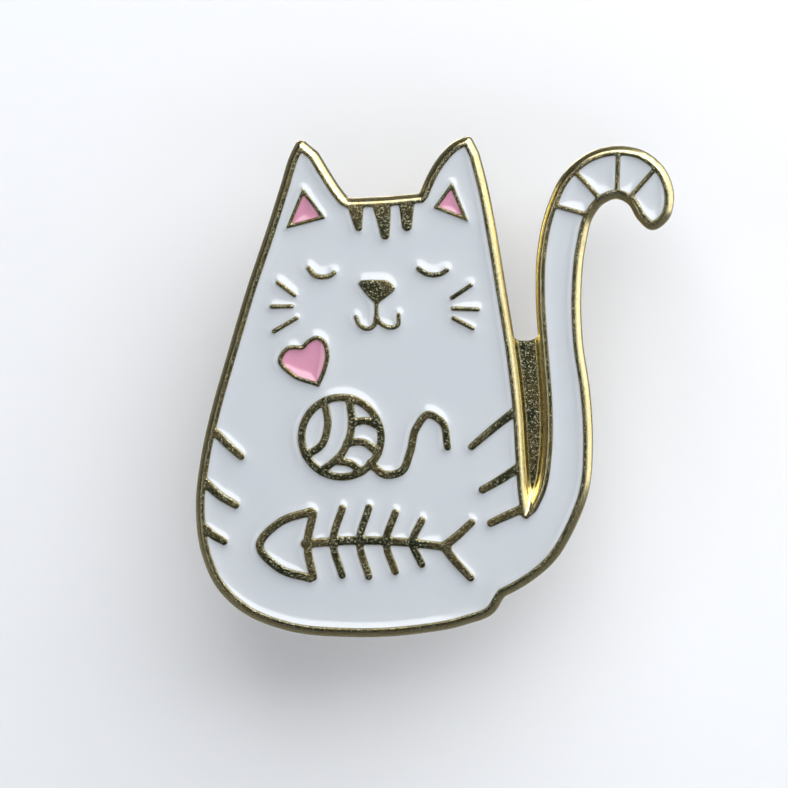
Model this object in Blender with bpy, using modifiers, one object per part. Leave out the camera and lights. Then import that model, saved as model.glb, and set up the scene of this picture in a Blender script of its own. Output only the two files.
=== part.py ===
"""Enamel pin shaped as a sitting cat, with two posts and two butterfly clutches.

The figure stands along +Z and its enamelled face looks along -Y. The back of the plate lies on y = 0,
and the origin is on it, midway between the posts. All sizes below are in millimetres.
"""

import math

import bmesh
import bpy

MM = 0.001

# The plate, by height above its back. Lines are the raised metal that parts the enamel.
LINE_TOP = 1.5
POCKET_FLOOR = 0.95
ENAMEL_TOP = 1.3
WEB_TOP = 0.72
RIM_WIDTH = 0.27
SLOPE_WIDTH = 0.27
SLOPE_FOOT = 1.2
FIT_GAP = 0.03

# The posts and the clutches on them, by height behind the plate.
POST_HEIGHTS = {"upper": 5.8, "lower": -5.8}
POST_RADIUS = 0.55
POST_TIP = 8.0
PAD_RADIUS = 2.0
PAD_THICKNESS = 0.35
CLUTCH_GAP = 0.9
DISC_RADIUS = 5.5
DISC_THICKNESS = 0.4
CASE_RADIUS = 3.0
CASE_HEIGHT = 3.2
CASE_WALL = 0.3
WINDOW_WIDTH = 4.0
GRIP_RADIUS = 0.6
WING_SHEET = 0.35
WING_PIVOT = (2.1, 1.9)
SPRING_RADIUS = 1.58
SPRING_WIRE = 0.15
SPRING_LEVEL = 2.55

# The figure's outline at the top of its rim, as runs of points (x, z) that meet at corners.
LEFT_SIDE = [
    (-3.95, 14.78), (-4.25, 14.2), (-4.9, 12.2), (-5.6, 10.0), (-6.95, 6.0), (-8.15, 2.0),
    (-9.02, -1.0), (-9.7, -4.0), (-10.03, -7.0), (-9.7, -9.8), (-8.8, -11.8), (-7.3, -13.2),
    (-5.0, -14.15), (-1.0, -14.57), (3.0, -14.35), (6.0, -13.75), (7.5, -13.1), (8.0, -12.3),
]
TAIL = [
    (8.15, -12.1), (9.1, -11.6), (11.1, -10.0), (12.3, -8.0), (13.1, -5.8), (13.3, -3.0), (13.12, 0.0),
    (12.68, 3.0), (12.58, 6.0), (12.87, 9.0), (13.3, 10.6), (14.0, 11.5), (15.0, 11.88),
    (15.85, 11.5), (16.5, 10.5), (17.1, 10.02), (17.8, 10.5), (18.1, 11.6), (17.5, 13.35),
    (16.4, 14.2), (15.0, 14.45), (13.5, 14.1), (12.1, 13.0), (11.1, 11.0), (10.5, 8.0),
    (10.45, 6.0), (10.72, 2.0), (10.93, -1.0), (10.9, -3.6), (10.5, -6.0), (10.05, -6.95),
]
RIGHT_SIDE = [
    (9.6, -7.35), (9.42, -6.2), (9.25, -4.0), (9.08, -1.2), (8.72, 2.0), (8.08, 6.0), (7.4, 10.0),
    (6.9, 12.5), (6.45, 14.2),
]
RIGHT_EAR = [(6.05, 15.0), (5.6, 14.85), (4.65, 14.0), (4.0, 13.0), (3.47, 11.8)]
HEAD_TOP = [(3.3, 11.6), (1.0, 11.4), (-1.1, 11.3)]
LEFT_EAR = [(-1.4, 11.45), (-1.85, 12.0), (-2.5, 13.0), (-3.2, 14.15)]

# The thin floor between the body and the tail.
WEB = [(8.3, 3.45), (9.1, 3.08), (9.9, 3.1), (10.9, 3.85), (11.2, -4.0), (9.9, -8.2), (9.2, -8.2), (8.6, -2.0)]

# Closed shapes with enamel of their own inside a thin line.
HEART = [
    [(-3.86, 2.74), (-4.77, 2.68), (-5.3, 1.85), (-4.55, 0.95), (-2.88, 0.3)],
    [(-2.84, 0.3), (-2.42, 1.3), (-2.24, 2.35), (-2.5, 3.1), (-3.0, 3.34), (-3.6, 3.05)],
]
EARS = {
    "left": [(-3.8, 12.2), (-4.8, 9.8), (-2.45, 10.42)],
    "right": [(5.15, 12.55), (4.05, 11.05), (6.1, 10.25)],
}
HEART_LINE = 0.23
EAR_LINE = 0.19
NOSE = [
    [(-0.45, 6.5), (0.05, 5.85), (0.58, 5.32)],
    [(0.66, 5.32), (1.1, 5.65), (1.6, 6.05)],
    [(1.7, 6.25), (1.35, 6.58), (0.5, 6.68), (-0.3, 6.66)],
]

# Raised lines: centre points, then the width at the start and at the end.
FACE_LINES = [
    ([(-3.45, 7.4), (-3.1, 6.98), (-2.65, 6.88), (-2.2, 6.95), (-1.9, 7.15)], 0.32, 0.28),
    ([(3.15, 7.4), (3.55, 7.12), (4.0, 7.02), (4.5, 7.1), (4.87, 7.32)], 0.32, 0.28),
    ([(0.62, 5.5), (0.62, 4.4)], 0.24, 0.24),
    ([(0.62, 4.5), (0.45, 3.95), (0.05, 3.78), (-0.4, 4.0), (-0.62, 4.5)], 0.28, 0.25),
    ([(0.62, 4.45), (0.95, 4.05), (1.45, 3.86), (1.9, 4.0), (1.95, 4.65)], 0.28, 0.25),
]
WHISKERS = [
    ([(-5.3, 6.55), (-4.3, 5.77)], 0.27, 0.25),
    ([(-5.7, 5.1), (-4.45, 5.12)], 0.28, 0.25),
    ([(-5.55, 3.62), (-4.18, 4.42)], 0.29, 0.25),
    ([(5.15, 5.65), (6.3, 6.43)], 0.27, 0.25),
    ([(5.2, 5.02), (6.72, 4.96)], 0.28, 0.25),
    ([(5.25, 4.43), (6.4, 3.83)], 0.29, 0.26),
]
STRIPES = [
    ([(-0.62, 11.2), (-0.56, 10.6), (-0.45, 9.85)], 0.98, 0.44),
    ([(0.92, 11.25), (1.03, 10.5), (1.14, 9.4)], 1.12, 0.54),
    ([(2.42, 11.35), (2.44, 10.7), (2.45, 9.95)], 0.95, 0.62),
    ([(-9.1, -2.5), (-8.35, -3.25), (-7.55, -3.95)], 0.5, 0.44),
    ([(-9.7, -5.55), (-8.8, -6.35), (-7.9, -6.88)], 0.56, 0.48),
    ([(-9.75, -8.3), (-9.2, -8.75), (-8.6, -9.1)], 0.52, 0.46),
    ([(8.85, -1.2), (7.6, -2.2), (6.35, -3.28)], 0.54, 0.44),
    ([(9.05, -4.6), (8.0, -5.3), (7.0, -5.88)], 0.56, 0.48),
    ([(9.3, -7.05), (8.4, -7.45), (7.5, -7.88)], 0.56, 0.48),
]
TAIL_BANDS = [
    ([(11.3, 11.18), (13.22, 10.65)], 0.28, 0.28),
    ([(12.5, 13.2), (13.94, 11.64)], 0.28, 0.28),
    ([(15.06, 14.32), (15.0, 12.02)], 0.28, 0.28),
    ([(17.18, 13.3), (15.74, 11.66)], 0.28, 0.28),
]

# The ball of yarn with its loose end, and the fish bone below it.
BALL_CENTRE = (-1.5, -2.75)
BALL_RADIUS = 2.4
BALL_LINE = 0.46
BALL_TURNS = [
    [(-0.42, 0.9), (-0.34, 0.3), (-0.5, -0.2), (-0.88, -0.46)],
    [(0.2, 0.97), (0.26, 0.25), (0.02, -0.4), (-0.5, -0.86)],
    [(0.27, 0.35), (0.6, 0.42), (0.94, 0.28)],
    [(0.14, -0.15), (0.52, -0.12), (0.92, -0.38)],
    [(-0.14, -0.6), (0.22, -0.66), (0.5, -0.86)],
]
YARN_END = [(0.25, -4.3), (1.15, -5.0), (2.1, -4.8), (2.65, -3.6), (3.0, -2.2), (3.75, -1.35), (4.55, -1.8), (4.9, -3.3)]
BONE_SPINE = [(-3.7, -9.2), (-1.0, -9.0), (2.0, -9.05), (4.9, -9.35)]
BONE_HEAD = [
    [(-3.35, -7.25), (-5.2, -7.9), (-6.45, -9.35), (-5.2, -10.75), (-3.4, -11.3)],
    [(-3.2, -11.2), (-3.55, -9.3), (-3.2, -7.35)],
]
BONE_TAIL = [
    ([(4.7, -9.3), (5.5, -8.65), (6.35, -7.85)], 0.54, 0.46),
    ([(4.7, -9.35), (5.45, -10.3), (6.3, -11.2)], 0.54, 0.46),
]
RIB_LENGTHS = {-1.9: 2.0, -0.3: 2.05, 1.3: 1.75, 2.9: 1.3}
RIB_LINE = 0.46
RIB_LEAN = 0.45

# A point inside each closed cell that the lines part from the main field of white enamel.
WHITE_CELLS = {
    "enamel_tail_lower": (12.4, 12.0), "enamel_tail_middle": (14.1, 13.1), "enamel_tail_upper": (15.9, 13.3),
    "enamel_tail_tip": (17.1, 11.5), "enamel_ball_left": (-3.2, -1.9), "enamel_ball_middle": (-1.9, -2.8),
    "enamel_ball_top": (-0.2, -1.3), "enamel_ball_right": (-0.1, -2.7), "enamel_ball_low": (-0.4, -3.8),
    "enamel_ball_bottom": (-1.5, -4.8), "enamel_bone_head": (-4.6, -9.3),
}

COLOURS = {
    "gold": (0.72, 0.55, 0.22, 1.0), "white": (0.78, 0.81, 0.83, 1.0), "pink": (0.8, 0.42, 0.56, 1.0),
    "steel": (0.62, 0.62, 0.6, 1.0), "brass": (0.7, 0.52, 0.24, 1.0),
}


def clear():
    for obj in list(bpy.data.objects):
        bpy.data.objects.remove(obj, do_unlink=True)


def collection(name, cutters=False):
    made = bpy.data.collections.new(name)
    bpy.context.scene.collection.children.link(made)
    made.hide_render = cutters
    return made


def material(name, colour, metallic, roughness):
    made = bpy.data.materials.new(name)
    made.use_nodes = True
    shader = made.node_tree.nodes["Principled BSDF"]
    shader.inputs["Base Color"].default_value = COLOURS[colour]
    shader.inputs["Metallic"].default_value = metallic
    shader.inputs["Roughness"].default_value = roughness
    return made


def gold(name):
    return material(name, "gold", 1.0, 0.35)


def enamel(name, colour):
    return material(name, colour, 0.0, 0.12)


def add(name, mesh, group, paint=None):
    """A new object for the mesh. With no paint it's a helper, kept out of renders."""
    obj = bpy.data.objects.new(name, mesh)
    group.objects.link(obj)
    if paint:
        obj.data.materials.append(paint)
    else:
        obj.hide_render = True
        obj.display_type = "WIRE"
    return obj


def smooth(points, steps=3):
    """The points, with steps to each span of the curve that runs smoothly through them."""
    slopes = []
    for i, point in enumerate(points):
        before, after = points[max(i - 1, 0)], points[min(i + 1, len(points) - 1)]
        back, ahead = math.dist(before, point), math.dist(point, after)
        if back == 0 or ahead == 0:
            span = back + ahead
            slopes.append([(after[k] - before[k]) / span for k in range(2)])
            continue
        slopes.append([
            ((point[k] - before[k]) / back * ahead + (after[k] - point[k]) / ahead * back) / (back + ahead)
            for k in range(2)
        ])
    made = []
    for i in range(len(points) - 1):
        length = math.dist(points[i], points[i + 1])
        for step in range(steps):
            t = step / steps
            low, high = 2 * t**3 - 3 * t**2 + 1, 3 * t**2 - 2 * t**3
            leave, arrive = (t**3 - 2 * t**2 + t) * length, (t**3 - t**2) * length
            made.append(tuple(
                low * points[i][k] + high * points[i + 1][k] + leave * slopes[i][k] + arrive * slopes[i + 1][k]
                for k in range(2)
            ))
    return made + [tuple(points[-1])]


def loop(runs, steps=3):
    """One closed outline from runs that meet at corners."""
    return [point for run in runs for point in smooth(run, steps)]


def distance(point, outline):
    """From the point to the nearest side of the closed outline."""
    best = math.inf
    for i, end in enumerate(outline):
        start = outline[i - 1]
        along = (end[0] - start[0], end[1] - start[1])
        length = along[0] ** 2 + along[1] ** 2
        share = ((point[0] - start[0]) * along[0] + (point[1] - start[1]) * along[1]) / length
        share = min(max(share, 0), 1)
        best = min(best, math.dist(point, (start[0] + share * along[0], start[1] + share * along[1])))
    return best


def offset(outline, by, keep=False):
    """The anticlockwise outline moved outwards, with mitred corners. Points that a tight bend folds over go."""
    made = []
    for i, point in enumerate(outline):
        before, after = outline[i - 1], outline[(i + 1) % len(outline)]
        into, out = math.dist(before, point), math.dist(point, after)
        first = ((point[1] - before[1]) / into, (before[0] - point[0]) / into)
        second = ((after[1] - point[1]) / out, (point[0] - after[0]) / out)
        turn = 1 + first[0] * second[0] + first[1] * second[1]
        reach = by / max(turn, 0.25)
        made.append((point[0] + reach * (first[0] + second[0]), point[1] + reach * (first[1] + second[1])))
    return [point for point in made if keep or by == 0 or distance(point, outline) > abs(by) * 0.98]


def stroke(points, start_width, end_width, grow=0.0, flat_start=False, flat_end=False):
    """The outline of a line that narrows evenly along its length, with round ends unless they are to be flat."""
    centres = smooth(points, 2) if len(points) > 2 else list(points)
    lengths = [0.0]
    for i in range(1, len(centres)):
        lengths.append(lengths[-1] + math.dist(centres[i - 1], centres[i]))
    left, right = [], []
    for i, centre in enumerate(centres):
        before, after = centres[max(i - 1, 0)], centres[min(i + 1, len(centres) - 1)]
        span = math.dist(before, after)
        side = ((before[1] - after[1]) / span, (after[0] - before[0]) / span)
        half = (start_width + (end_width - start_width) * lengths[i] / lengths[-1]) / 2 + grow
        left.append((centre[0] + side[0] * half, centre[1] + side[1] * half))
        right.append((centre[0] - side[0] * half, centre[1] - side[1] * half))
    end = [] if flat_end else cap(right[-1], left[-1])
    start = [] if flat_start else cap(left[0], right[0])
    return right + end + left[::-1] + start


def cap(start, end, pieces=5):
    """Points of the half circle from start to end, anticlockwise, without its two ends."""
    middle = ((start[0] + end[0]) / 2, (start[1] + end[1]) / 2)
    radius = math.dist(start, end) / 2
    first = math.atan2(start[1] - middle[1], start[0] - middle[0])
    angles = [first + math.pi * i / pieces for i in range(1, pieces)]
    return [(middle[0] + radius * math.cos(a), middle[1] + radius * math.sin(a)) for a in angles]


def arc(centre, radius, first, last, pieces):
    """Points on an arc, by angle in degrees."""
    angles = [math.radians(first + (last - first) * i / pieces) for i in range(pieces + 1)]
    return [(centre[0] + radius * math.cos(a), centre[1] + radius * math.sin(a)) for a in angles]


def slab(name, levels):
    """A solid through outlines that have as many points each, given with their heights in front of the back."""
    body = bmesh.new()
    outline, height = levels[0]
    face = body.faces.new([body.verts.new((x * MM, -height * MM, z * MM)) for x, z in outline])
    for level, (outline, height) in enumerate(levels[1:]):
        made = bmesh.ops.extrude_face_region(body, geom=[face])["geom"]
        if level:
            body.faces.remove(face)
        face = next(item for item in made if isinstance(item, bmesh.types.BMFace))
        for vert, (x, z) in zip(face.verts, outline):
            vert.co = (x * MM, -height * MM, z * MM)
    bmesh.ops.recalc_face_normals(body, faces=body.faces)
    mesh = bpy.data.meshes.new(name)
    body.to_mesh(mesh)
    body.free()
    return mesh


def straight(name, outline, low_height, high_height):
    return slab(name, [(outline, low_height), (outline, high_height)])


def combine(obj, operation, other):
    """A Boolean with one object, or with every object of a collection."""
    modifier = obj.modifiers.new(operation.lower(), "BOOLEAN")
    modifier.operation = operation
    modifier.solver = "EXACT"
    if isinstance(other, bpy.types.Collection):
        modifier.operand_type = "COLLECTION"
        modifier.collection = other
    else:
        modifier.object = other


def evaluated_mesh(obj):
    bpy.context.view_layer.update()
    return bpy.data.meshes.new_from_object(obj.evaluated_get(bpy.context.evaluated_depsgraph_get()))


def figure_outline():
    return loop([LEFT_SIDE, TAIL, RIGHT_SIDE, RIGHT_EAR, HEAD_TOP, LEFT_EAR], 2)


def ball_turns():
    """The turns of yarn across the ball, which are given as shares of its radius."""
    return [
        ([(BALL_CENTRE[0] + x * BALL_RADIUS, BALL_CENTRE[1] + z * BALL_RADIUS) for x, z in turn], BALL_LINE, BALL_LINE)
        for turn in BALL_TURNS
    ]


def bone_lines():
    """The spine, the ribs that lean back across it, and the tail."""
    lines = [(BONE_SPINE, 0.54, 0.5)] + BONE_TAIL
    for x, length in RIB_LENGTHS.items():
        ends = [(x + RIB_LEAN, -9.05 + length), (x - 0.1, -9.05), (x + RIB_LEAN, -9.1 - length)]
        lines.append((ends, RIB_LINE, RIB_LINE))
    return lines


def raised_outlines(grow):
    """Every shape that stands in the main field, grown a little where the enamel is to be cut clear of it."""
    lines = FACE_LINES + WHISKERS + ball_turns() + [(YARN_END, 0.5, 0.44)] + bone_lines()
    outlines = [stroke(points, start, end, grow) for points, start, end in lines]
    outlines += [stroke(points, start, end, grow, flat_start=True) for points, start, end in STRIPES]
    outlines += [stroke(points, start, end, grow, flat_start=True, flat_end=True) for points, start, end in TAIL_BANDS]
    outlines += [offset(loop(HEART), grow + 0.03), offset(loop(NOSE), grow + 0.05)]
    outlines += [offset(EARS[side], grow + 0.03) for side in EARS]
    return outlines


def rings(grow):
    """Closed lines, as an outer and an inner outline."""
    ball = arc(BALL_CENTRE, BALL_RADIUS + BALL_LINE / 2 + grow, 0, 350, 35)
    ball_hole = arc(BALL_CENTRE, BALL_RADIUS - BALL_LINE / 2 - grow, 0, 350, 35)
    head = loop(BONE_HEAD)
    return [(ball, ball_hole), (offset(head, 0.25 + grow), offset(head, -0.25 - grow))]


def ring(name, outer, inner, low_height, high_height):
    """A slab with a hole through it, made as two walls that share their ends."""
    body = bmesh.new()
    loops = []
    for outline in (outer, inner):
        loops.append([body.verts.new((x * MM, -low_height * MM, z * MM)) for x, z in outline])
    for points in loops:
        for i, vert in enumerate(points):
            body.edges.new((points[i - 1], vert))
    bmesh.ops.triangle_fill(body, edges=body.edges, use_beauty=True)
    made = bmesh.ops.extrude_face_region(body, geom=body.faces[:])["geom"]
    for vert in [item for item in made if isinstance(item, bmesh.types.BMVert)]:
        vert.co.y = -high_height * MM
    bmesh.ops.recalc_face_normals(body, faces=body.faces)
    mesh = bpy.data.meshes.new(name)
    body.to_mesh(mesh)
    body.free()
    return mesh


def line_group(name, grow, low_height, high_height):
    """The raised lines as solids in a collection of their own."""
    group = collection(name, cutters=True)
    for i, outline in enumerate(raised_outlines(grow)):
        add(f"{name}_{i}", straight(name, outline, low_height, high_height), group)
    for i, (outer, inner) in enumerate(rings(grow)):
        add(f"{name}_ring_{i}", ring(name, outer, inner, low_height, high_height), group)
    return group


def small_pockets(shrink):
    """Outlines inside the heart and the two ears, where pink enamel goes."""
    made = {"heart": offset(loop(HEART), -HEART_LINE - shrink)}
    for side, points in EARS.items():
        made[f"ear_{side}"] = offset(points, -EAR_LINE - shrink)
    return made


def make_plate(pin, cutters):
    """The plate: a sloped edge, a web, one sunk field, the raised lines in it and the sunk shapes in those."""
    outline = figure_outline()
    foot = offset(outline, SLOPE_WIDTH, keep=True)
    levels = [(foot, 0.0), (foot, SLOPE_FOOT), (outline, LINE_TOP)]
    plate = add("badge_plate", slab("badge_plate", levels), pin, gold("plate_gold"))
    web = add("web", straight("web", loop([WEB[:4]]) + WEB[4:], 0.0, WEB_TOP), cutters)
    combine(plate, "UNION", web)
    field = add("field", straight("field", offset(outline, -RIM_WIDTH), POCKET_FLOOR, LINE_TOP + 1), cutters)
    combine(plate, "DIFFERENCE", field)
    combine(plate, "UNION", line_group("lines", 0.0, POCKET_FLOOR - 0.1, LINE_TOP))
    for name, pocket in small_pockets(0.0).items():
        sunk = add(f"pocket_{name}", straight(f"pocket_{name}", pocket, POCKET_FLOOR, LINE_TOP + 1), cutters)
        combine(plate, "DIFFERENCE", sunk)
    return plate


def make_enamel(pin, cutters):
    """The white fill cut clear of every line and parted into its cells, and the three pink fills."""
    low = POCKET_FLOOR + FIT_GAP
    fill_outline = offset(figure_outline(), -RIM_WIDTH - FIT_GAP)
    fill = add("fill", straight("fill", fill_outline, low, ENAMEL_TOP), cutters)
    combine(fill, "DIFFERENCE", line_group("clearance", FIT_GAP, 0.5, LINE_TOP + 1))
    whole = bmesh.new()
    whole.from_mesh(evaluated_mesh(fill))
    cells = islands(whole)
    body = max(cells, key=lambda faces: sum(face.calc_area() for face in faces))
    white = enamel("enamel_white", "white")
    for faces in cells:
        name = "enamel_body" if faces is body else cell_name(faces)
        add(name, island_mesh(name, faces), pin, white)
    whole.free()
    pink = enamel("enamel_pink", "pink")
    for name, outline in small_pockets(FIT_GAP).items():
        add(f"enamel_{name}", straight(f"enamel_{name}", outline, low, ENAMEL_TOP), pin, pink)


def islands(body):
    """The faces of each separate piece of a bmesh."""
    left, found = set(body.faces), []
    while left:
        piece, queue = [], [next(face for face in body.faces if face in left)]
        left.discard(queue[0])
        while queue:
            face = queue.pop()
            piece.append(face)
            for edge in face.edges:
                for other in edge.link_faces:
                    if other in left:
                        left.discard(other)
                        queue.append(other)
        found.append(piece)
    return found


def cell_name(faces):
    """The name of the listed cell whose point is nearest to the middle of these faces."""
    area = sum(face.calc_area() for face in faces)
    middle = [sum(face.calc_center_median()[k] * face.calc_area() for face in faces) / area / MM for k in (0, 2)]
    return min(WHITE_CELLS, key=lambda name: math.dist(WHITE_CELLS[name], middle))


def island_mesh(name, faces):
    body = bmesh.new()
    copies = {}
    for face in faces:
        for vert in face.verts:
            if vert not in copies:
                copies[vert] = body.verts.new(vert.co)
        body.faces.new([copies[vert] for vert in face.verts])
    mesh = bpy.data.meshes.new(name)
    body.to_mesh(mesh)
    body.free()
    return mesh


def behind(obj, z, y=0.0, half_turn=False):
    """Stands the object on the back of the plate at height z, with its own +Z pointing away from the plate."""
    obj.location = (0.0, y * MM, z * MM)
    obj.rotation_euler = (-math.pi / 2, math.pi if half_turn else 0.0, 0.0)


def turned(name, profile, group, paint, sides=48, closed=True):
    """A round piece about its own Z axis, from (radius, height) points that run down its outer side."""
    count = len(profile)
    edges = [(i, i + 1) for i in range(count - 1)]
    if closed:
        edges.append((count - 1, 0))
    mesh = bpy.data.meshes.new(name)
    mesh.from_pydata([(r * MM, 0.0, z * MM) for r, z in profile], edges, [])
    obj = add(name, mesh, group, paint)
    screw = obj.modifiers.new("turn", "SCREW")
    screw.steps = screw.render_steps = sides
    screw.use_merge_vertices = True
    screw.merge_threshold = 1e-6
    screw.use_smooth_shade = True
    return obj


def make_post(where, pin):
    """A post with its soldered foot, a groove near the end, and a point."""
    profile = [
        (0.0, POST_TIP), (0.12, POST_TIP - 0.12), (0.38, 6.9), (0.44, 6.7), (0.44, 6.35), (POST_RADIUS, 6.15),
        (POST_RADIUS, 0.75), (0.75, 0.5), (1.5, PAD_THICKNESS), (PAD_RADIUS - 0.1, PAD_THICKNESS),
        (PAD_RADIUS, PAD_THICKNESS - 0.1), (PAD_RADIUS, 0.0), (0.0, 0.0),
    ]
    post = turned(f"post_{where}", profile, pin, material(f"post_{where}_steel", "steel", 1.0, 0.3), 24, False)
    behind(post, POST_HEIGHTS[where], 0.02)


def make_disc(where, pin):
    """The round foot of the clutch: a rolled rim, a shallow dish and a funnel that the post enters."""
    t = DISC_THICKNESS
    profile = [
        (DISC_RADIUS - 0.25, t + 0.12), (DISC_RADIUS - 0.05, t), (DISC_RADIUS, t - 0.2), (DISC_RADIUS - 0.12, 0.03),
        (DISC_RADIUS - 0.4, 0.0), (4.4, 0.1), (2.2, 0.1), (1.5, -0.25), (1.15, -0.3), (0.66, 0.1),
        (0.66, t), (1.3, t), (DISC_RADIUS - 1.1, t), (DISC_RADIUS - 0.55, t),
    ]
    disc = turned(f"{where}_clutch_disc", profile, pin, material(f"{where}_disc_brass", "brass", 1.0, 0.3), 48)
    behind(disc, POST_HEIGHTS[where], CLUTCH_GAP)


def clutch_level():
    """The height of the disc's upper face behind the plate."""
    return CLUTCH_GAP + DISC_THICKNESS


def make_case(where, pin, cutters):
    """The domed cap on the disc, with a window on each side that a wing passes through."""
    r, h, w = CASE_RADIUS, CASE_HEIGHT, CASE_WALL
    outer = [(0.9, h), (r - 0.75, h), (r - 0.3, h - 0.12), (r - 0.1, h - 0.35), (r, h - 0.75), (r, 0.6)]
    outer += [(r + 0.15, 0.35), (r + 0.55, 0.3), (r + 0.6, 0.2), (r + 0.6, 0.03)]
    inner = [(r - w, 0.03), (r - w, h - 0.8), (r - w - 0.12, h - 0.48), (r - w - 0.35, h - w - 0.04), (0.9, h - w)]
    case = turned(f"{where}_clutch_case", outer + inner, pin, material(f"{where}_case_brass", "brass", 1.0, 0.3), 40)
    behind(case, POST_HEIGHTS[where], clutch_level())
    for side in (-1, 1):
        name = f"{where}_window_{'left' if side < 0 else 'right'}"
        body = bmesh.new()
        bmesh.ops.create_cube(body, size=1.0)
        bmesh.ops.scale(body, vec=(3.2 * MM, WINDOW_WIDTH * MM, 3.0 * MM), verts=body.verts)
        bmesh.ops.translate(body, vec=(side * 3.05 * MM, 0.0, 2.45 * MM), verts=body.verts)
        mesh = bpy.data.meshes.new(name)
        body.to_mesh(mesh)
        body.free()
        window = add(name, mesh, cutters)
        behind(window, POST_HEIGHTS[where], clutch_level())
        combine(case, "DIFFERENCE", window)


def make_spring(where, pin):
    """An open ring of wire under the cap that keeps the two wings apart above their pivots."""
    curve = bpy.data.curves.new(f"{where}_clutch_spring", "CURVE")
    curve.dimensions = "3D"
    curve.bevel_depth = SPRING_WIRE * MM
    curve.bevel_resolution = 2
    curve.use_fill_caps = True
    points = arc((0, 0), SPRING_RADIUS, 115, 425, 26)
    points = [(points[0][0] * 0.6, points[0][1] * 0.72)] + points + [(points[-1][0] * 0.6, points[-1][1] * 0.72)]
    line = curve.splines.new("POLY")
    line.points.add(len(points) - 1)
    for point, (x, y) in zip(line.points, points):
        point.co = (x * MM, y * MM, SPRING_LEVEL * MM, 1.0)
    spring = add(curve.name, curve, pin, material(f"{where}_spring_steel", "steel", 1.0, 0.3))
    behind(spring, POST_HEIGHTS[where], clutch_level())


def make_wing(where, side, pin, cutters):
    """A bent strip: a notched toe that grips the post, a leg through the window and a flared finger tab."""
    px, pz = WING_PIVOT
    bend = [(0.12, 0.6), (1.5, 0.6), (1.95, 0.78), (2.1, 1.2), (2.1, 2.6), (2.16, 3.3)]
    bend += [(2.5, 4.2), (3.05, 5.0), (3.75, 5.6), (4.35, 5.8)]
    halves = [1.25, 1.25, 1.3, 1.4, 1.7, 1.75, 1.85, 1.85, 1.6, 0.9]
    body = bmesh.new()
    rows = [
        [body.verts.new(((x - px) * MM, y * half * MM, (z - pz) * MM)) for y in (-1, 0, 1)]
        for (x, z), half in zip(bend, halves)
    ]
    for low, high in zip(rows, rows[1:]):
        for k in range(2):
            body.faces.new((low[k], low[k + 1], high[k + 1], high[k]))
    name = f"{where}_wing_{side}"
    mesh = bpy.data.meshes.new(name)
    body.to_mesh(mesh)
    body.free()
    wing = add(name, mesh, pin, material(f"{name}_brass", "brass", 1.0, 0.3))
    sheet = wing.modifiers.new("sheet", "SOLIDIFY")
    sheet.thickness = WING_SHEET * MM
    sheet.offset = 0.0
    sheet.use_even_offset = True
    level = clutch_level()
    wing.location = ((-px if side == "left" else px) * MM, (level + pz) * MM, POST_HEIGHTS[where] * MM)
    wing.rotation_euler = (-math.pi / 2, math.pi if side == "left" else 0.0, 0.0)
    return wing


def make_notch(where, cutters):
    """The round cutter that leaves half of the grip's hole in each toe."""
    notch = turned(f"{where}_notch", [(0.0, 1.6), (GRIP_RADIUS, 1.6), (GRIP_RADIUS, 0.0), (0.0, 0.0)], cutters, None, 24, False)
    behind(notch, POST_HEIGHTS[where], clutch_level())
    return notch


def main():
    clear()
    pin = collection("enamel_pin")
    cutters = collection("cutters", cutters=True)
    make_plate(pin, cutters)
    make_enamel(pin, cutters)
    for where in POST_HEIGHTS:
        make_post(where, pin)
        make_disc(where, pin)
        make_case(where, pin, cutters)
        make_spring(where, pin)
        notch = make_notch(where, cutters)
        for side in ("left", "right"):
            combine(make_wing(where, side, pin, cutters), "DIFFERENCE", notch)


main()
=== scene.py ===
"""Looks for the enamel pin: plated relief, glossy enamel with its meniscus, and sheet-metal clutches."""

import math

import bmesh
import bpy
import numpy as np
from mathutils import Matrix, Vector
from mathutils.geometry import delaunay_2d_cdt


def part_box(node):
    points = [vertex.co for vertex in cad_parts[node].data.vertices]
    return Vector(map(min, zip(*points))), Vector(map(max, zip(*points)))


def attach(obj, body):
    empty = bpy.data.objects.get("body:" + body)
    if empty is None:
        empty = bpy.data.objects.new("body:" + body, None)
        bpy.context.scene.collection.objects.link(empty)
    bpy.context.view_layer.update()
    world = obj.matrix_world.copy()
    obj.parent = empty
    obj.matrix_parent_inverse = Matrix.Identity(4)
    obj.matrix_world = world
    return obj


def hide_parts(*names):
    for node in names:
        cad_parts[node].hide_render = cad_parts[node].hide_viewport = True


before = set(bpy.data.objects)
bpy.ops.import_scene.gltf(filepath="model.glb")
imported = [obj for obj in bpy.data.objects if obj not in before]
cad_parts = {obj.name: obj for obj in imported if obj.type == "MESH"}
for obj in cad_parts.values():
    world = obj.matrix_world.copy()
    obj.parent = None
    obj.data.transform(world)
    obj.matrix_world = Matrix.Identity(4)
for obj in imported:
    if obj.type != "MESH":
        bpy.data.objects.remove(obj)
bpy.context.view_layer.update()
MM = 0.001

# --- sizes, in millimetres
LINE_TOP = 1.5
POCKET_FLOOR = 0.95
WEB_TOP = 0.72
RIM_WIDTH = 0.27
SLOPE_WIDTH = 0.3
SHOULDER_WIDTH = 0.13
SHOULDER_DROP = 0.05
ENAMEL_LEVEL = 1.18
ENAMEL_CLIMB = 0.2
CLIMB_REACH = 0.34
ENAMEL_UNDERSIDE = 1.0
ENAMEL_LAP = 0.014
BACK_CHAMFER = 0.05
CREST_ROUND = 0.07
SKIRT_SLOPE = 1.2
SKIRT_WIDTH = 0.26
WEB_ROUND = 0.07
FILLET = 0.09

POSTS = {"upper": 5.8, "lower": -5.8}
CLUTCH_GAP = 0.9
DISC_THICKNESS = 0.4
CLUTCH_LEVEL = CLUTCH_GAP + DISC_THICKNESS

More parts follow.
